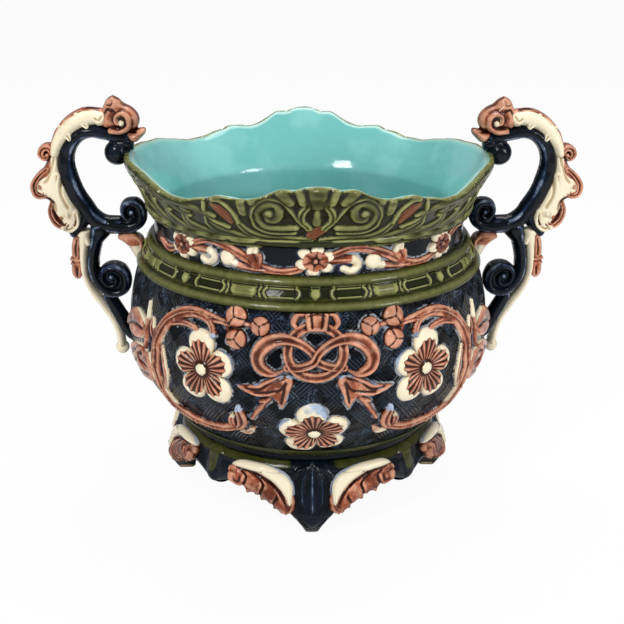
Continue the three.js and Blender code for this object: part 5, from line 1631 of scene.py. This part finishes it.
class JARDINIERE_OT_bowl(bpy.types.Operator):
    """Model the bowl: its dark figured outside and its turquoise inside"""

    bl_idname = "jardiniere.bowl"
    bl_label = "Bowl"

    def execute(self, context):
        body = body_relief()
        v = body.v
        angle = np.degrees(np.arctan2(body.ground[:, 0], -body.ground[:, 1]))
        wrap = 360 / round(360 / (DIAPER * math.sqrt(2) / GIRTH_DEGREE))
        around_bands = angle / wrap * DIAPER * math.sqrt(2)
        body.tones["girth"] = around_bands
        body.tones["rise"] = v.copy()
        on_belly = ease(v, 60, 64) * (1 - ease(v, 184, 188))
        body.tones["bare"] = 1 - on_belly
        # The pale line round the relief: thinned glaze with a painted reflection.
        tree = outline_tree()
        halo = np.zeros(len(v))
        for i in np.nonzero((v > 60) & (v < 206))[0]:
            distance = tree.find(body.ground[i])[2]
            halo[i] = distance if distance is not None else 99
        body.tones["halo"] = (1 - ease(halo, .5, 2.6)) * ((v > 60) & (v < 206))
        a, b = (around_bands + v) * math.sqrt(.5), (around_bands - v) * math.sqrt(.5)
        a, b = (np.abs(np.mod(c + DIAPER / 2, DIAPER) - DIAPER / 2) for c in (a, b))
        raised = np.maximum(ease(a, DIAPER_BAND + .5, DIAPER_BAND - .5),
                            ease(b, DIAPER_BAND + .5, DIAPER_BAND - .5))
        body.height += on_belly * (.55 * raised - .25)
        mesh = body.finish(close=False, unevenness=.15, pool_and_shade_depth=1.2)
        tidy(mesh, SEAM)
        add_piece("bowl_outside", mesh, material("navy_ground", ground_glaze), ["bowl_body"],
                  "navy_glaze")
        lining = lining_relief()
        height = lining.ground[:, 2]
        lining.tones["deep"] = (1 - ease(height, 60, 210)) * (lining.v > 240)
        lining.tones["edge"] = ease(lining.v, 234, 235.5) * (1 - ease(lining.v, 238.5, 241))
        lining.height += .25 * lumps(lining.ground, 60.0) * (lining.v > 242)
        mesh = lining.finish(close=False, unevenness=.0)
        tidy(mesh, SEAM)
        add_piece("bowl_inside", mesh, material("turquoise_glaze", lining_glaze), ["bowl_body"],
                  "turquoise_glaze")
        return {"FINISHED"}


def outline_tree():
    """A search tree over the outlines of the relief on the wall, in millimetres."""
    points = np.vstack([OUTLINES[name] for name in sorted(OUTLINES)])[::3]
    tree = kdtree.KDTree(len(points))
    for i, point in enumerate(points):
        tree.insert(point, i)
    tree.balance()
    return tree


class JARDINIERE_OT_rings(bpy.types.Operator):
    """Model the rim's border, the two rolls, the fluted band and the roll over the base"""

    bl_idname = "jardiniere.rings"
    bl_label = "Rim, rolls and band"

    def execute(self, context):
        add_piece("rim_border_relief", rim_border_relief(), green(), ["rim_border"], "olive_glaze")
        add_piece("fluted_band_relief", band_relief(), green(), ["fluted_band"], "olive_glaze")
        for node, bottom, top in (("neck_roll_upper", UPPER_ROLL_BOTTOM, NECK_BOTTOM - SLIP),
                                  ("neck_roll_lower", SHOULDER_HEIGHT + SLIP, LOWER_ROLL_TOP)):
            relief = roll_relief(bottom, top, 3.4)
            # A painted highlight runs along the middle of each roll.
            relief.tones["crest"] = .42 * bell(relief.v - 8, 3.2)
            mesh = relief.finish(close=False, unevenness=.16)
            tidy(mesh, SEAM)
            add_piece(node + "_glazed", mesh, green(), [node], "olive_glaze")
        add_piece("base_roll_glazed", on_base_roll(), green(), ["base_roll"], "olive_glaze")
        return {"FINISHED"}


class JARDINIERE_OT_base(bpy.types.Operator):
    """Model the low base: the ring with its four feet, and a pair of shells on each"""

    bl_idname = "jardiniere.base"
    bl_label = "Base and shells"

    def execute(self, context):
        add_piece("foot_ring_modelled", foot_relief(),
                  material("foot_glaze", dark_glaze, "foot_glaze"),
                  ["foot_ring"], "navy_glaze")
        shell = shell_relief()
        for foot in range(4):
            for hand, mirrored in HANDS:
                name = f"foot_{foot + 1}_shell_{hand}"
                mesh = turned_copy(shell, 90.0 * foot, mirrored)
                add_piece(name + "_modelled", mesh, painted(), [name], "cream_glaze")
        return {"FINISHED"}


def add_sprigs(mesh, name, slot, on_both_sides=True):
    """Copies one sprig to the front and the back, and to both sides of each."""
    for face, angle in FACES:
        if on_both_sides:
            for hand, mirrored in HANDS:
                node = f"{face}_{name}_{hand}"
                add_piece(node + "_relief", turned_copy(mesh, angle, mirrored), painted(), [node],
                          slot)
        else:
            node = f"{face}_{name}"
            add_piece(node + "_relief", turned_copy(mesh, angle), painted(), [node], slot)


class JARDINIERE_OT_flowers(bpy.types.Operator):
    """Model the flowers: one on each side of the knot and one below it, front and back"""

    bl_idname = "jardiniere.flowers"
    bl_label = "Flowers"

    def execute(self, context):
        add_sprigs(flower_mesh(SIDE_FLOWER, 24.0, 3.6, 6.0), "flower", "cream_glaze")
        add_sprigs(flower_mesh(LOW_FLOWER, 24.0, 3.6, -6.0, (0, 1)), "low_flower", "cream_glaze",
                   False)
        return {"FINISHED"}


class JARDINIERE_OT_knot(bpy.types.Operator):
    """Model the knots of ring, ribbon and clasp"""

    bl_idname = "jardiniere.knot"
    bl_label = "Knots"

    def execute(self, context):
        add_sprigs(knot_mesh(), "knot", "terracotta_glaze", False)
        return {"FINISHED"}


class JARDINIERE_OT_leafwork(bpy.types.Operator):
    """Model the scrolling branches with their berries, the hanging leaves and the side leaves"""

    bl_idname = "jardiniere.leafwork"
    bl_label = "Leafwork"

    def execute(self, context):
        add_sprigs(branch_mesh(), "branch", "terracotta_glaze")
        add_sprigs(bell_leaves_mesh(), "bell_leaves", "terracotta_glaze")
        add_sprigs(side_leaf_mesh(), "side_leaf", "cream_glaze")
        return {"FINISHED"}


class JARDINIERE_OT_frieze(bpy.types.Operator):
    """Model the friezes of flowers and running stems on the neck"""

    bl_idname = "jardiniere.frieze"
    bl_label = "Neck friezes"

    def execute(self, context):
        add_sprigs(neck_frieze_mesh(), "neck_frieze", "terracotta_glaze", False)
        return {"FINISHED"}


class JARDINIERE_OT_handles(bpy.types.Operator):
    """Model both handles: straps, volutes, leaves, finials, ribs, ribbons, brackets and buds"""

    bl_idname = "jardiniere.handles"
    bl_label = "Handles"

    def execute(self, context):
        dark = material("handle_navy_glaze", dark_glaze, "handle_navy_glaze")
        upper = volute_mesh(UPPER_SPIRAL, ((-19, -61), (18, -29)), 8.6,
                            widths((0, 12.4), (.3, 9), (.6, 6.6), (1, 4.6)), 2.8, (-5, -43, 8.6))
        lower = volute_mesh(LOWER_SPIRAL, ((-6, -107), (32, -46)), 8.8,
                            widths((0, 15), (.07, 9), (.4, 8.6), (.7, 6.6), (1, 4.6)), 3.0,
                            (10.4, -90.4, 8.8))
        parts = (("strap", strap_mesh(), dark, "navy_glaze"),
                 ("upper_volute", upper, dark, "navy_glaze"),
                 ("crest_leaf", crest_leaf_mesh(), painted(), "cream_glaze"),
                 ("acanthus", acanthus_mesh(), painted(), "cream_glaze"),
                 ("finial", finial_mesh(), painted(), "terracotta_glaze"),
                 ("lower_scroll", lower, dark, "navy_glaze"),
                 ("outer_rib", rib_mesh(), painted(), "cream_glaze"),
                 ("ribbon", ribbon_mesh(), painted(), "terracotta_glaze"),
                 ("strut", strut_mesh(), dark, "navy_glaze"),
                 ("bracket", bracket_mesh(), painted(), "terracotta_glaze"),
                 ("bud", bud_mesh(), painted(), "cream_glaze"))
        for part, mesh, finish, slot in parts:
            for hand, angle in (("right", 0.0), ("left", 180.0)):
                node = f"handle_{hand}_{part}"
                add_piece(node + "_modelled", turned_copy(mesh, angle), finish, [node], slot)
        return {"FINISHED"}


# ---- stage ----

CAMERA_PLACE = (2.74, -703.76, 385.90)  # millimetres, before the pot's turn
CAMERA_PITCH = 20.46
CAMERA_ROLL = 0.527
POT_TURN = 2.4  # the pot stands turned this much in the photograph
CAMERA_LENS = 59.96


def add_camera():
    camera = bpy.data.objects.new("camera", bpy.data.cameras.new("camera"))
    bpy.context.scene.collection.objects.link(camera)
    turn = Matrix.Rotation(math.radians(-POT_TURN), 4, "Z")
    tilt = Matrix.Rotation(math.radians(90 - CAMERA_PITCH), 4, "X")
    roll = Matrix.Rotation(math.radians(CAMERA_ROLL), 4, "Z")
    place = Matrix.Translation([c * MM for c in CAMERA_PLACE])
    camera.matrix_world = turn @ place @ tilt @ roll
    camera.data.lens = CAMERA_LENS
    camera.data.sensor_width = 36.0
    camera.data.clip_start = 0.02
    bpy.context.scene.camera = camera


def add_softbox(name, place, target, size, power):
    light = bpy.data.lights.new(name, "AREA")
    light.shape = "RECTANGLE"
    light.size, light.size_y = size
    light.energy = power * bpy.context.scene.jardiniere.light
    lamp = bpy.data.objects.new(name, light)
    bpy.context.scene.collection.objects.link(lamp)
    lamp.location = place
    aim = Matrix.Translation(target).translation - lamp.location
    lamp.rotation_euler = aim.to_track_quat("-Z", "Y").to_euler()


def add_floor():
    bm = bmesh.new()
    radius = bpy.context.scene.jardiniere.floor_size
    bmesh.ops.create_circle(bm, cap_ends=True, segments=64, radius=radius)
    mesh = bpy.data.meshes.new("floor")
    bm.to_mesh(mesh)
    bm.free()
    floor = bpy.data.objects.new("floor", mesh)
    floor.location.z = -0.0002
    bpy.context.scene.collection.objects.link(floor)
    glaze = Glaze("floor_paper", roughness=0.9)
    glaze.shader.inputs["Specular IOR Level"].default_value = 0.0
    glaze.shader.inputs["Base Color"].default_value = (0.86, 0.86, 0.86, 1)
    seen = glaze.node("LightPath", {}, output=0)
    white = glaze.node("Emission", {}, (1.0, 1.0, 1.0), 1.0)
    lit = Value(glaze, glaze.shader.outputs[0])
    mixed = glaze.node("MixShader", {}, seen * 0.94, lit, white)
    glaze.tree.links.new(mixed.socket, glaze.tree.nodes["Material Output"].inputs["Surface"])
    mesh.materials.append(glaze.material)


def light_world():
    world = bpy.data.worlds.new("studio")
    bpy.context.scene.world = world
    world.use_nodes = True
    tree = world.node_tree
    nodes, links = tree.nodes, tree.links
    path = nodes.new("ShaderNodeLightPath")
    fill = nodes["Background"]
    fill.inputs["Color"].default_value = (0.93, 0.96, 1.0, 1)
    fill.inputs["Strength"].default_value = 0.36 * bpy.context.scene.jardiniere.light
    white = nodes.new("ShaderNodeBackground")
    white.inputs["Color"].default_value = (1, 1, 1, 1)
    white.inputs["Strength"].default_value = 1.0
    either = nodes.new("ShaderNodeMath")
    either.operation = "MAXIMUM"
    links.new(path.outputs["Is Camera Ray"], either.inputs[0])
    links.new(path.outputs["Is Transmission Ray"], either.inputs[1])
    mix = nodes.new("ShaderNodeMixShader")
    links.new(either.outputs[0], mix.inputs[0])
    links.new(fill.outputs[0], mix.inputs[1])
    links.new(white.outputs[0], mix.inputs[2])
    links.new(mix.outputs[0], nodes["World Output"].inputs["Surface"])


class JARDINIERE_OT_stage(bpy.types.Operator):
    """Set up the pale floor, the soft studio light and the camera"""

    bl_idname = "jardiniere.stage"
    bl_label = "Stage"

    def execute(self, context):
        context.scene.view_settings.view_transform = "Standard"
        add_floor()
        light_world()
        aim = (0, 0, 0.16)
        add_softbox("key", (-0.75, -1.15, 1.35), aim, (0.42, 0.42), 17)
        add_softbox("fill", (1.15, -0.95, 0.8), aim, (0.36, 0.5), 9)
        add_softbox("top", (0.1, 0.5, 1.5), aim, (1.0, 0.7), 12)
        add_camera()
        return {"FINISHED"}


class JARDINIERE_PT_panel(bpy.types.Panel):
    """Steps and settings of the jardiniere"""

    bl_idname = "JARDINIERE_PT_panel"
    bl_label = "Jardiniere"
    bl_space_type = "VIEW_3D"
    bl_region_type = "UI"
    bl_category = "Jardiniere"

    def draw(self, context):
        settings = context.scene.jardiniere
        for name in settings.bl_rna.properties.keys():
            if name not in ("rna_type", "name"):
                self.layout.prop(settings, name)
        for step in STEPS:
            self.layout.operator(step.bl_idname)


STEPS = (JARDINIERE_OT_flowers, JARDINIERE_OT_knot, JARDINIERE_OT_leafwork, JARDINIERE_OT_frieze,
         JARDINIERE_OT_bowl, JARDINIERE_OT_rings, JARDINIERE_OT_base, JARDINIERE_OT_handles,
         JARDINIERE_OT_stage)


def register():
    for cls in (JARDINIERE_PG_settings, *STEPS, JARDINIERE_PT_panel):
        bpy.utils.register_class(cls)
    bpy.types.Scene.jardiniere = PointerProperty(type=JARDINIERE_PG_settings)


def unregister():
    del bpy.types.Scene.jardiniere
    for cls in (JARDINIERE_PT_panel, *reversed(STEPS), JARDINIERE_PG_settings):
        bpy.utils.unregister_class(cls)


def main():
    register()
    for step in STEPS:
        module, name = step.bl_idname.split(".")
        getattr(getattr(bpy.ops, module), name)()
    bpy.context.view_layer.update()


if __name__ == "__main__":
    main()
